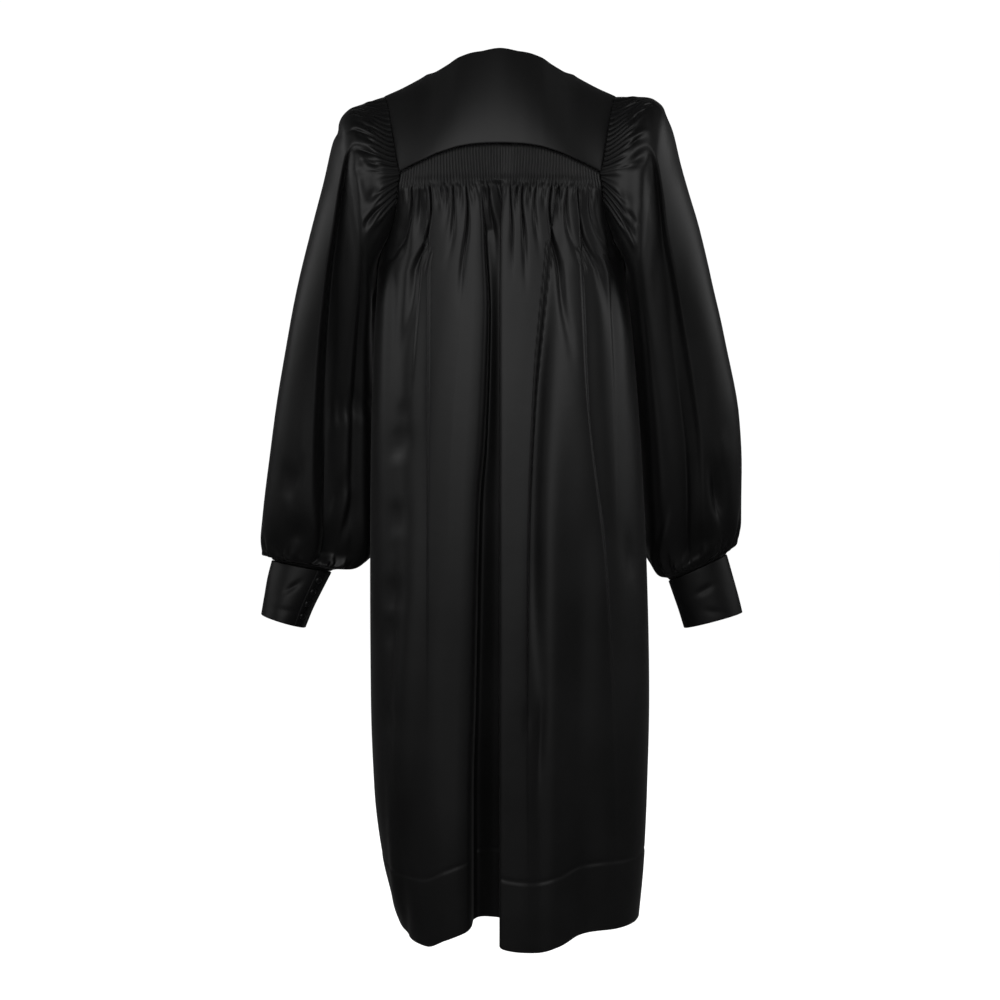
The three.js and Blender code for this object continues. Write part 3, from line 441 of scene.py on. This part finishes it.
# sleeves and cuffs
sleeve = {
    "cloth": 1.3,
    "flutesBack": 20,
    "flutesFront": 14,
    "backShare": (0.01, 0.33),
    "frontShare": (0.75, 0.97),
    "fluteLift": 1.3,
    "headGathers": 24,
    "headRipple": 0.5,
    "wristGathers": 12,
    "wristRipple": 2.6,
    "wristPuff": 1.5,
    "waves": 1.2,
    "foldEdge": 6.0,
    "allowance": 6.0,
    "allowanceSink": 4.0,
    "outerPower": {1: 2.9, -1: 3.2},
    "innerPower": {1: 2.9, -1: 4.4},
    "swell": {1: 18, -1: 17},
    "swellAngle": {1: 226, -1: 208},
    "swellSpan": 30,
}
sleeveRings = {
    1: {
        "s": [0, 1, 2, 3, 4, 5, 6, 7, 8, 9, 10, 11, 12],
        "outX": [172, 200, 225, 240, 256, 279, 302, 322, 338, 350, 354, 350, 337],
        "outZ": [-38, -46, -63, -99, -160, -240, -335, -442, -545, -636, -674, -697, -700],
        "inX": [178, 182, 184, 185, 187, 188, 188, 188, 187, 186, 191, 218, 251],
        "inZ": [-290, -302, -318, -342, -376, -422, -482, -548, -612, -662, -699, -718, -720],
        "backY": [80, 90, 88, 76, 60, 45, 32, 21, 12, 4, -8, -18, -32],
        "frontY": [-76, -86, -92, -96, -100, -106, -112, -118, -124, -128, -118, -102, -88],
    },
    -1: {
        "s": [0, 1, 2, 3, 4, 5, 6, 7, 8, 9, 10, 11, 12],
        "outX": [172, 202, 230, 248, 264, 287, 310, 334, 351, 356, 356, 348, 335],
        "outZ": [-38, -36, -48, -84, -142, -212, -302, -402, -492, -576, -645, -682, -695],
        "inX": [178, 183, 188, 193, 198, 203, 208, 213, 216, 219, 220, 234, 251],
        "inZ": [-290, -302, -320, -346, -382, -428, -484, -546, -604, -654, -700, -728, -734],
        "backY": [80, 90, 88, 76, 60, 45, 32, 21, 12, 4, -8, -22, -32],
        "frontY": [-76, -86, -92, -96, -100, -106, -112, -118, -124, -128, -118, -100, -88],
    },
}
sleeveFoldRings = [1.5, 4, 7, 9.5, 11.4]
sleeveFolds = {
    1: asRows("angle depth width steep", [
        ([71, 78, 90, 95.5, 97], [5, 15, 24, 24, 6], 30, 1),
        ([120, 128, 132, 134, 136], [2, 8, 10, 9, 3], 13, 0),
        ([300, 298, 294, 292, 290], [4, 10, 12, 11, 4], 13, 0),
        ([240, 238, 236, 234, 232], [2, 6, 9, 8, 3], 15, 0),
    ]),
    -1: asRows("angle depth width steep", [
        ([79, 90, 92.4, 93.6, 93.6], [5, 14, 15, 13, 5], 15, 1),
        ([122, 130, 134, 136, 136], [2, 3, 1.5, 2, 2], 13, 0),
        ([298, 296, 292, 290, 288], [4, 10, 12, 11, 4], 13, 0),
        ([242, 240, 238, 236, 234], [2, 6, 9, 8, 3], 15, 0),
    ]),
}
sleeveHollows = {
    1: asRows("x z wide tall tilt depth", [
        (232, -92, 6, 15, -25, 5),
        (199, -64, 5, 6, 0, 4),
        (309, -588, 6, 20, -35, 6),
        (294, -584, 6, 15, 35, 5),
        (297, -664, 15, 17, 10, 7),
        (214, -482, 24, 8, -12, 7),
        (224, -604, 8, 24, 30, 6),
        (213, -650, 7, 30, 15, 6),
    ]),
    -1: asRows("x z wide tall tilt depth", [
        (242, -66, 5, 10, 20, 4.5),
        (211, -182, 8, 32, 5, 4.5),
        (316, -604, 10, 38, 10, 14),
        (322, -545, 12, 9, 0, -3),
        (300, -672, 12, 16, -20, 5),
        (236, -640, 8, 30, -12, 5),
    ]),
}
# dents and small puffs where the stitched pleats of the sleeve head let go
headDents = {
    side: [
        {
            "angle": angle + draw.uniform(-3, 3),
            "s": draw.uniform(0.85, 1.35),
            "wide": draw.uniform(1.6, 3.8),
            "tall": draw.uniform(0.1, 0.32),
            "depth": draw.uniform(1.2, 3.6) * (-0.7 if i % 3 == 2 else 1),
        }
        for i, angle in enumerate(list(range(20, 116, 4)) + list(range(272, 344, 6)))
    ]
    for side, draw in ((1, np.random.default_rng(41)), (-1, np.random.default_rng(43)))
}
cuffRings = {
    1: {
        "s": [0, 1, 2, 3],
        "x": [294, 304, 313, 321],
        "y": [-60, -59, -58, -57],
        "z": [-714, -740, -767, -795],
        "halfWidth": [43, 39.5, 35, 31.5],
        "halfDepth": [28, 31, 34.5, 37.5],
        "drop": [0.2, 0.22, 0.26, 0.31],
    },
    -1: {
        "s": [0, 1, 2, 3],
        "x": [293, 301, 309, 316],
        "y": [-60, -59, -58, -57],
        "z": [-716, -742, -768, -794],
        "halfWidth": [42, 42, 42, 42],
        "halfDepth": [28, 28.5, 29, 29.5],
        "drop": [0.46, 0.4, 0.33, 0.27],
    },
}
rings = {side: tracks(sleeveRings[side], "s") for side in sleeveRings}
cuffSize = {side: tracks(cuffRings[side], "s") for side in cuffRings}
for side in sleeveFolds:
    for fold in sleeveFolds[side]:
        fold["angleAt"] = track(sleeveFoldRings, fold["angle"])
        fold["depthAt"] = track(sleeveFoldRings, fold["depth"])


# the armhole as a closed line round (y 0, z -160), from the top to the back
def armholeLine(side):
    parts = [yokePoint(side * np.ones(40), np.linspace(0, 1, 40))]
    rows = np.linspace(0.0, 0.3, 160)
    parts += [backPoint(np.ones(160), rows, side), frontPoint(np.ones(160), rows, side)]
    points = np.concatenate(parts)
    points = points[points[:, 2] > -289]
    angle = np.arctan2(points[:, 1], points[:, 2] + 160) % (2 * np.pi)
    order = np.argsort(angle)
    return angle[order], points[order]


armholes = {side: armholeLine(side) for side in (1, -1)}


def cuffPoint(u, s, side):
    u, s = np.broadcast_arrays(np.asarray(u, float), np.asarray(s, float))
    size = {name: cuffSize[side][name](s) for name in cuffSize[side]}
    angle = u * 2 * np.pi
    across = size["halfWidth"] * np.cos(angle)
    return np.stack([
        side * (size["x"] + across),
        size["y"] + size["halfDepth"] * np.sin(angle),
        size["z"] + size["drop"] * across,
    ], -1)


# degrees from one angle to another, the short way round
def turnFrom(degrees, angle):
    return (degrees - angle + 540) % 360 - 180


def sleevePoint(u, s, side):
    u, s = np.broadcast_arrays(np.asarray(u, float), np.asarray(s, float))
    tucked, s = np.clip(-s, 0, 1), np.maximum(s, 0)
    angle = (u % 1.0) * 2 * np.pi
    ring = {name: rings[side][name](s) for name in rings[side]}
    first = {name: rings[side][name](0.0) for name in rings[side]}

    # the back of the sleeve hangs flatter than an oval
    backPower = np.where(np.cos(angle) < 0, sleeve["innerPower"][side], sleeve["outerPower"][side])
    flat = 2 / np.where(np.sin(angle) > 0, backPower, 2.0)
    cosine, sine = power(np.cos(angle), flat), power(np.sin(angle), flat)

    def ringPoint(r):
        return np.stack([
            side * ((r["outX"] + r["inX"]) / 2 + (r["outX"] - r["inX"]) / 2 * cosine),
            (r["backY"] + r["frontY"]) / 2 + (r["backY"] - r["frontY"]) / 2 * sine,
            (r["outZ"] + r["inZ"]) / 2 + (r["outZ"] - r["inZ"]) / 2 * cosine,
        ], -1)

    point, start = ringPoint(ring), ringPoint(first)
    marks, places = armholes[side]
    hole = np.stack([np.interp(angle, marks, places[:, k], period=2 * np.pi) for k in range(3)], -1)
    hole[..., 0] += side * (1.2 + 1.0 * (1 - np.cos(angle)) - sleeve["allowance"] * tucked)
    inner = np.array([0, -160]) - hole[..., 1:]
    inner = inner / np.linalg.norm(inner, axis=-1, keepdims=True)
    hole[..., 1:] += inner * (sleeve["allowanceSink"] * smooth(tucked / 0.4))[..., None]
    point = point + (hole - start) * (1 - smooth(s / 1.6))[..., None]
    middle = np.stack([side * (ring["outX"] + ring["inX"]) / 2, (ring["backY"] + ring["frontY"]) / 2], -1)
    outward = point[..., :2] - middle
    radius = np.maximum(1, np.linalg.norm(outward, axis=-1))
    outward = outward / radius[..., None]
    degrees = np.degrees(angle)
    inward = 0
    for fold in sleeveFolds[side]:
        away = -np.radians(turnFrom(degrees, fold["angleAt"](s))) * radius
        shape = foldShape(away, fold["steep"], fold["width"], sleeve["foldEdge"])
        inward = inward + fold["depthAt"](s) * shape
    inward = inward * smooth((s - 1) / 1.5) * (1 - smooth((s - 10) / 1.2))
    head = smooth((s - 0.7) / 0.25) * (1 - smooth((s - 0.9) / 0.5))
    wander = angle + 0.03 * np.sin(5 * angle + 2 * s)
    inward = inward + sleeve["headRipple"] * head * (1 + np.cos(wander * sleeve["headGathers"]))
    wrist = smooth((s - 9.4) / 1.1) * (1 - 0.5 * smooth((s - 10.6) / 1.2))
    ripple = 1 + np.cos(angle * sleeve["wristGathers"] + np.sin(3 * angle))
    inward = inward + sleeve["wristRipple"] * wrist * ripple
    puffs = np.sin(29 * angle + 3 * np.sin(2 * s)) * np.sin(7 * angle + 5 * s)
    puffs = puffs + 0.6 * np.sin(41 * angle - 4 * s)
    inward = inward - sleeve["wristPuff"] * smooth((s - 10) / 0.9) * (1 - smooth((s - 11.5) / 0.4)) * puffs
    for row in headDents[side]:
        across = turnFrom(degrees, row["angle"]) / row["wide"]
        along = (s - row["s"] + 0.02 * across) / row["tall"]
        inward = inward + row["depth"] * np.exp(-(across ** 2) - along ** 2)
    back = smooth(np.sin(angle) / 0.2)
    x, z = np.abs(point[..., 0]), point[..., 2]
    inward = inward + hollows(sleeveHollows[side], x, z) * back
    waves = sleeve["waves"] * unevenness(x, z, 21 + side)
    inward = inward - waves * smooth((s - 1.5) / 1.5) * (1 - smooth(s - 10))
    point[..., :2] -= outward * inward[..., None]
    # the side next to the body swells in front of it, so no gap shows from behind
    swell = np.exp(-(((degrees - sleeve["swellAngle"][side]) / sleeve["swellSpan"]) ** 2))
    swell = swell * smooth(s / 1.1) * (1 - smooth((s - 9.3) / 1.2))
    point[..., 0] -= side * sleeve["swell"][side] * swell
    close = smooth(s - 11)
    cuff = cuffPoint(u, 0.0, side) + np.array([0, 0, 1.3])
    point = point + (cuff - point) * close[..., None]
    point[..., 2] += 2 * np.sin(np.pi * close)
    return point


# a closed wall on a surface: outer and inner skins, with rounded edges
def makeCloth(name, surface, us, vs, cloth, facing=1, rib=None, closed=False, roll=1.0):
    across, down = np.meshgrid(us, vs, indexing="ij")
    middle = surface(across, down)
    step = 1e-4
    du = surface(across + step, down) - surface(across - step, down)
    dv = surface(across, down + step) - surface(across, down - step)
    normal = np.cross(du, dv)
    normal = facing * normal / np.maximum(1e-12, np.linalg.norm(normal, axis=-1, keepdims=True))
    length = np.linalg.norm(np.diff(middle, axis=1), axis=-1)
    along = np.concatenate([np.zeros((len(us), 1)), np.cumsum(length, axis=1)], axis=1)
    edge = np.minimum(along, along[:, -1:] - along)
    if not closed:
        width = np.linalg.norm(np.diff(middle, axis=0), axis=-1)
        sideways = np.concatenate([np.zeros((1, len(vs))), np.cumsum(width, axis=0)], axis=0)
        edge = np.minimum(edge, np.minimum(sideways, sideways[-1:] - sideways))
    t = np.clip(edge / roll, 0, 1)
    half = cloth / 2 * np.sqrt(np.maximum(0.06, 1 - (1 - t) ** 2))
    raised = rib(across, down) if rib else 0
    outer = middle + normal * (half + raised)[..., None]
    inner = middle - normal * half[..., None]
    if closed:
        outer, inner = outer[:-1], inner[:-1]
    nu, nv = outer.shape[0], outer.shape[1]
    points = np.concatenate([outer.reshape(-1, 3), inner.reshape(-1, 3)]) * millimetre
    index = np.arange(nu * nv).reshape(nu, nv)
    ahead = np.roll(index, -1, axis=0) if closed else index[1:]
    here = index if closed else index[:-1]
    a, b, c, d = here[:, :-1], ahead[:, :-1], ahead[:, 1:], here[:, 1:]
    skin = np.stack([a, b, c, d], -1).reshape(-1, 4)
    under = nu * nv
    faces = [skin, skin[:, ::-1] + under]
    for row, flip in ((0, 1), (nv - 1, -1)):
        p, q = here[:, row], ahead[:, row]
        rim = np.stack([p, p + under, q + under, q], -1)
        faces.append(rim[:, ::flip])
    if not closed:
        for column, flip in ((0, -1), (nu - 1, 1)):
            p, q = index[column, :-1], index[column, 1:]
            rim = np.stack([p, p + under, q + under, q], -1)
            faces.append(rim[:, ::flip])
    faces = np.concatenate(faces)
    if facing < 0:
        faces = faces[:, ::-1]
    mesh = bpy.data.meshes.new(name)
    mesh.from_pydata(points.tolist(), [], faces.tolist())
    mesh.polygons.foreach_set("use_smooth", [True] * len(mesh.polygons))
    mesh.validate()
    piece = bpy.data.objects.new(name, mesh)
    bpy.context.scene.collection.objects.link(piece)
    return piece


def finishPiece(piece, node, material):
    piece.data.materials.append(material)
    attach(piece, "root")
    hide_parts(node)


# rows or columns that crowd towards both ends, for the rounded edges
def crowded(count, edge=0.0015, start=0.0, end=1.0):
    even = np.linspace(start, end, count)
    span = end - start
    ends = np.array([0.0, 0.3, 0.65]) * edge * span
    low, high = start + edge * span, end - edge * span
    inner = even[(even > low) & (even < high)]
    return np.concatenate([start + ends, [low], inner, [high], end - ends[::-1]])


# cloth finishes
satinLook = {
    "black": (0.0018, 0.0018, 0.0019, 1),
    "paler": (0.003, 0.003, 0.0032, 1),
    "roughness": (0.4, 0.5),
    "specular": 0.35,
    "sheen": 0.03,
    "sheenRoughness": 0.35,
    "cloudScale": 7.0,
    "cloudRange": (0.35, 0.7),
    "creaseScale": 26,
    "creaseBump": (0.22, 0.0012),
    "threadScale": 1500,
    "threadBump": (0.12, 0.0002),
}


def node(tree, kind, **values):
    made = tree.nodes.new(kind)
    for name, value in values.items():
        made.inputs[name].default_value = value
    return made


def satin(name, look, **changes):
    look = {**look, **changes}
    material = bpy.data.materials.new(name)
    material.use_nodes = True
    tree = material.node_tree
    shader = tree.nodes["Principled BSDF"]
    link = tree.links.new
    place = node(tree, "ShaderNodeTexCoord")
    stretch = node(tree, "ShaderNodeMapping", Scale=(1, 1, 0.08))
    link(place.outputs["Object"], stretch.inputs["Vector"])
    threads = node(tree, "ShaderNodeTexNoise", Scale=look["threadScale"], Detail=2.0)
    link(stretch.outputs["Vector"], threads.inputs["Vector"])
    clouds = node(tree, "ShaderNodeTexNoise", Scale=look["cloudScale"], Detail=3.0)
    link(place.outputs["Object"], clouds.inputs["Vector"])
    creases = node(tree, "ShaderNodeTexNoise", Scale=look["creaseScale"], Detail=4.0, Roughness=0.55)
    link(place.outputs["Object"], creases.inputs["Vector"])
    tone = node(tree, "ShaderNodeValToRGB")
    for stop, colour, at in zip(tone.color_ramp.elements, ("black", "paler"), look["cloudRange"]):
        stop.color = look[colour]
        stop.position = at
    link(clouds.outputs["Fac"], tone.inputs["Fac"])
    link(tone.outputs["Color"], shader.inputs["Base Color"])
    gloss = node(tree, "ShaderNodeMapRange")
    gloss.inputs["To Min"].default_value, gloss.inputs["To Max"].default_value = look["roughness"]
    link(clouds.outputs["Fac"], gloss.inputs["Value"])
    link(gloss.outputs["Result"], shader.inputs["Roughness"])
    strength, distance = look["creaseBump"]
    soft = node(tree, "ShaderNodeBump", Strength=strength, Distance=distance)
    link(creases.outputs["Fac"], soft.inputs["Height"])
    strength, distance = look["threadBump"]
    weave = node(tree, "ShaderNodeBump", Strength=strength, Distance=distance)
    link(threads.outputs["Fac"], weave.inputs["Height"])
    link(soft.outputs["Normal"], weave.inputs["Normal"])
    link(weave.outputs["Normal"], shader.inputs["Normal"])
    shader.inputs["Specular IOR Level"].default_value = look["specular"]
    shader.inputs["Sheen Weight"].default_value = look["sheen"]
    shader.inputs["Sheen Roughness"].default_value = look["sheenRoughness"]
    return material


bodySatin = satin("black satin", satinLook)
facedSatin = satin("faced black satin", satinLook, black=(0.0024, 0.0024, 0.0025, 1), creaseScale=14)
cuffSatin = satin("cuff satin", satinLook, specular=0.2, creaseScale=30)
buttonSatin = satin("button satin", satinLook, roughness=(0.3, 0.4), creaseScale=160)
print("satin mixed")

# the pieces
yokeColumns, yokeRows = crowded(yoke["columns"], start=-1.0), crowded(yoke["rows"], edge=0.008)
yokePiece = makeCloth("yokeCloth", yokePoint, yokeColumns, yokeRows, yoke["cloth"], roll=yoke["edgeRoll"])
finishPiece(yokePiece, "yoke", facedSatin)
print("yoke made")


def makeBack(side):
    name = sideNames[side]
    count = body["flutes"] * body["backColumnsPerFlute"]

    def rib(u, v):
        z = backPoint(u, v, side)[..., 2]
        wave = np.abs(np.sin(np.pi * body["flutes"] * u)) ** body["fluteRoundness"]
        ends = 1 - smooth((body["bandBottom"] - 2 + 5 * np.sin(31 * u) - z) / 14 + 0.3)
        plainer = 0.45 + 0.55 * smooth((u - 0.1) / 0.05) if side < 0 else 1.0
        return body["fluteHeight"] * wave * ends * plainer * smooth(u / 0.004) * smooth((1 - u) / 0.004)

    # the left half's centre edge is tucked under the right half's
    def surface(u, v):
        point = backPoint(0.0003 + u * (1 - 0.0015), v, side)
        if side > 0:
            tuck = 1 - smooth(np.clip(u, 0, 1) / 0.004)
            point[..., 0] -= body["backTuck"][0] * tuck
            point[..., 1] -= body["backTuck"][1] * tuck
        return point

    hidden = body["allowance"] / 1100
    rows = np.concatenate([
        -hidden * np.array([1, 0.8, 0.5, 0.3, 0.2, 0.1]),
        [0, 0.0006, 0.0015],
        np.linspace(0.003, 0.05, 24),
        np.linspace(0.0525, 0.12, 34),
        np.linspace(0.128, 0.88, 48),
        np.linspace(0.89, 0.94, 26),
        np.linspace(0.95, 0.996, 8),
        [0.998, 0.9992, 1],
    ])
    piece = makeCloth(f"back{name.title()}", surface, np.linspace(0, 1, count + 1), rows,
                      body["cloth"], facing=side, rib=rib)
    finishPiece(piece, f"back_{name}", bodySatin)
    print(f"{name} back made")


def makeFront(side):
    name = sideNames[side]

    # the left front's edge is tucked behind the right's, and the side edges behind the back's
    def surface(u, v):
        point = frontPoint(0.0012 + u * (1 - 0.0024), v, side)
        if side > 0:
            tuck = 1 - smooth(np.clip(u, 0, 1) / 0.008)
            point[..., 0] -= body["frontTuck"][0] * tuck
            point[..., 1] += body["frontTuck"][1] * tuck
        tuck = smooth((u - 0.992) / 0.008) * smooth((body["sideTuckTop"] - point[..., 2]) / 60)
        point[..., 0] -= side * body["sideTuck"] * tuck
        point[..., 1] += body["sideTuck"] * tuck
        return point

    rows = np.concatenate([
        [0, 0.0006, 0.0015],
        np.linspace(0.004, 0.88, 80),
        np.linspace(0.89, 0.94, 22),
        np.linspace(0.95, 0.996, 6),
        [0.998, 0.9992, 1],
    ])
    piece = makeCloth(f"front{name.title()}", surface, crowded(130, edge=0.004), rows,
                      body["cloth"], facing=-side)
    finishPiece(piece, f"front_{name}", bodySatin)
    print(f"{name} front made")


def makeSleeve(side):
    name = sideNames[side]
    backFrom, backTo = sleeve["backShare"]
    frontFrom, frontTo = sleeve["frontShare"]
    around = np.concatenate([
        [0],
        np.linspace(backFrom, backTo, sleeve["flutesBack"] * 8 + 1),
        np.linspace(backTo, frontFrom, 62)[1:-1],
        np.linspace(frontFrom, frontTo, sleeve["flutesFront"] * 7 + 1),
        [0.98, 0.99, 1],
    ])
    down = np.concatenate([
        [-1, -0.7, -0.4, -0.15, 0, 0.03, 0.07],
        np.linspace(0.12, 1.5, 24),
        np.linspace(1.58, 3, 16),
        np.linspace(3.15, 9.4, 30),
        np.linspace(9.5, 11.9, 30),
        [11.95, 12],
    ])

    def flutes(u, span, count):
        t = (u - span[0]) / (span[1] - span[0])
        wave = np.abs(np.sin(np.pi * count * np.clip(t, 0, 1))) ** body["fluteRoundness"]
        return np.where((t > 0) & (t < 1), wave, 0)

    def rib(u, s):
        ends = 1 - smooth((s - 0.66 - 0.1 * np.sin(47 * u)) / 0.3)
        both = flutes(u, sleeve["backShare"], sleeve["flutesBack"])
        both = both + flutes(u, sleeve["frontShare"], sleeve["flutesFront"])
        return body["fluteHeight"] * sleeve["fluteLift"] * ends * both * smooth((s + 0.25) / 0.25)

    piece = makeCloth(f"sleeve{name.title()}", lambda u, s: sleevePoint(u, s, side), around, down,
                      sleeve["cloth"], facing=-side, rib=rib, closed=True)
    finishPiece(piece, f"sleeve_{name}", bodySatin)
    print(f"{name} sleeve made")


cuff = {
    "cloth": 2.6,
    "edgeRoll": 1.4,
    "waves": 0.35,
    "lap": 1.2,
    "buttonAngle": {1: 138, -1: 222},
    "buttons": 4,
    "buttonRadius": 5.0,
    "buttonHeight": 3.8,
    "buttonSides": 28,
    "buttonProfile": [
        (0.0, 0.0), (0.86, 0.0), (1.0, 0.22), (0.98, 0.42), (0.86, 0.68), (0.62, 0.88), (0.32, 0.98),
    ],
}
cuffHollows = {
    1: asRows("x z wide tall tilt depth", [(304, -744, 13, 4.5, -35, 2.2), (312, -778, 16, 5, 8, 1.0)]),
    -1: asRows("x z wide tall tilt depth", [(300, -748, 13, 5, 30, 2.0), (316, -780, 14, 5, -10, 1.2)]),
}


# a low dome, with the cloth puckered round its foot
def makeButton(name, at, out):
    radius, height, count = cuff["buttonRadius"], cuff["buttonHeight"], cuff["buttonSides"]
    turn = Vector((0, 0, 1)).rotation_difference(Vector(out))
    points, faces = [], []

    def addPoint(x, y, z):
        points.append((turn @ Vector((x, y, z)) + Vector(at)) * millimetre)

    for r, h in cuff["buttonProfile"]:
        for i in range(count):
            a = 2 * math.pi * i / count
            pucker = 1 + (0.02 * math.cos(9 * a) if h < 0.5 else 0)
            addPoint(r * pucker * math.cos(a) * radius, r * pucker * math.sin(a) * radius, h * height)
    addPoint(0, 0, height)
    last = (len(cuff["buttonProfile"]) - 1) * count
    for low in range(0, last, count):
        high = low + count
        for i in range(count):
            j = (i + 1) % count
            faces.append((low + i, low + j, high + j, high + i))
    faces += [(last + i, last + (i + 1) % count, len(points) - 1) for i in range(count)]
    mesh = bpy.data.meshes.new(name)
    mesh.from_pydata(points, [], faces)
    mesh.polygons.foreach_set("use_smooth", [True] * len(mesh.polygons))
    button = bpy.data.objects.new(name, mesh)
    bpy.context.scene.collection.objects.link(button)
    mesh.materials.append(buttonSatin)
    return button


def makeCuff(side):
    name = sideNames[side]
    lapAt = cuff["buttonAngle"][side] / 360

    def surface(u, s):
        point = cuffPoint(u, s, side)
        size = cuffSize[side]
        middle = np.stack([side * size["x"](s), size["y"](s)], -1)
        outward = point[..., :2] - middle
        outward = outward / np.maximum(1, np.linalg.norm(outward, axis=-1, keepdims=True))
        back = smooth(np.sin(u * 2 * np.pi) / 0.2)
        push = cuff["waves"] * unevenness(u * 240, s * 28, 31 + side, tall=1.2, size=26)
        push = push - hollows(cuffHollows[side], np.abs(point[..., 0]), point[..., 2]) * back
        over = smooth((u - lapAt + 0.03) / 0.006) * (1 - smooth((u - lapAt - 0.02) / 0.05))
        push = push + cuff["lap"] * over
        return np.concatenate([point[..., :2] + outward * push[..., None], point[..., 2:]], -1)

    lapColumns = np.linspace(lapAt - 0.04, lapAt + 0.03, 15)
    columns = np.unique(np.concatenate([np.linspace(0, 1, 121), lapColumns]))
    rows = crowded(36, edge=0.025, end=3.0)
    piece = makeCloth(f"cuff{name.title()}", surface, columns, rows, cuff["cloth"],
                      facing=-side, closed=True, roll=cuff["edgeRoll"])
    for i in range(cuff["buttons"]):
        s = 3 * (0.17 + 0.64 * i / (cuff["buttons"] - 1))
        at = cuffPoint(lapAt, s, side)
        around = cuffPoint(lapAt + 0.002, s, side) - cuffPoint(lapAt - 0.002, s, side)
        down = cuffPoint(lapAt, s + 0.02, side) - cuffPoint(lapAt, s - 0.02, side)
        out = -side * np.cross(around, down)
        out = out / np.linalg.norm(out)
        button = makeButton(f"{name}CuffButton{i + 1}", at + out * (cuff["cloth"] / 2 + 0.5), out)
        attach(button, "root")
        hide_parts(f"cuff_{name}_button_{i + 1}")
    finishPiece(piece, f"cuff_{name}", cuffSatin)
    print(f"{name} cuff made")


for side in (1, -1):
    makeBack(side)
    makeFront(side)
    makeSleeve(side)
    makeCuff(side)

# floor, light and camera
studio = {
    "floorZ": -1.46,
    "floorSize": 60,
    "floorTone": 0.98,
    "camera": (0, 2.6, -0.616),
    "lens": 64.55,
    "paper": 1.04,
    "dimRoom": 0.022,
    # place, aim, size and watts of each lamp
    "lamps": {
        "key": ((0.35, 3.1, 0.55), (0, 0, -0.3), (2.3, 0.9), 28),
        "leftSide": ((3.0, 0.3, 0.7), (0.25, 0, -0.35), (3.0, 1.3), 22),
        "rightSide": ((-3.0, 0.3, 0.7), (-0.25, 0, -0.35), (3.0, 1.3), 24),
        "frontKey": ((0, -3.1, 0.6), (0, 0, -0.3), (1.0, 1.0), 18),
    },
}
floorMesh = bpy.data.meshes.new("floor")
half = studio["floorSize"] / 2
corners = [(-half, -half, 0), (half, -half, 0), (half, half, 0), (-half, half, 0)]
floorMesh.from_pydata(corners, [], [(0, 1, 2, 3)])
floor = bpy.data.objects.new("floor", floorMesh)
floor.location.z = studio["floorZ"]
floor.visible_glossy = False  # the satin doesn't mirror the floor
bpy.context.scene.collection.objects.link(floor)
paper = bpy.data.materials.new("pale floor")
paper.use_nodes = True
paperShader = paper.node_tree.nodes["Principled BSDF"]
paperShader.inputs["Base Color"].default_value = (studio["floorTone"],) * 3 + (1,)
paperShader.inputs["Roughness"].default_value = 0.9
paperShader.inputs["Specular IOR Level"].default_value = 0.0
floorMesh.materials.append(paper)

# pale paper all round, and a dim room in what the satin mirrors
world = bpy.data.worlds.new("studio")
bpy.context.scene.world = world
world.use_nodes = True
tree = world.node_tree
paths = tree.nodes.new("ShaderNodeLightPath")
dim = tree.nodes.new("ShaderNodeBackground")
dim.inputs["Strength"].default_value = studio["dimRoom"]
pale = tree.nodes["Background"]
pale.inputs["Strength"].default_value = studio["paper"]
for light in (dim, pale):
    light.inputs["Color"].default_value = (1, 1, 1, 1)
choose = tree.nodes.new("ShaderNodeMixShader")
tree.links.new(paths.outputs["Is Glossy Ray"], choose.inputs["Fac"])
tree.links.new(pale.outputs["Background"], choose.inputs[1])
tree.links.new(dim.outputs["Background"], choose.inputs[2])
tree.links.new(choose.outputs["Shader"], tree.nodes["World Output"].inputs["Surface"])


def softbox(name, place, aim, size, watts):
    lamp = bpy.data.lights.new(name, "AREA")
    lamp.shape, lamp.size, lamp.size_y, lamp.energy = "RECTANGLE", size[0], size[1], watts
    light = bpy.data.objects.new(name, lamp)
    light.location = place
    light.rotation_euler = (Vector(aim) - Vector(place)).to_track_quat("-Z", "Y").to_euler()
    bpy.context.scene.collection.objects.link(light)


for name, values in studio["lamps"].items():
    softbox(name, *values)

cameraData = bpy.data.cameras.new("camera")
camera = bpy.data.objects.new("camera", cameraData)
bpy.context.scene.collection.objects.link(camera)
camera.location = studio["camera"]
camera.rotation_euler = (math.radians(90), 0, math.radians(180))
cameraData.lens, cameraData.sensor_width = studio["lens"], 36
bpy.context.scene.camera = camera
bpy.context.scene.view_settings.view_transform = "Standard"
print("studio set")
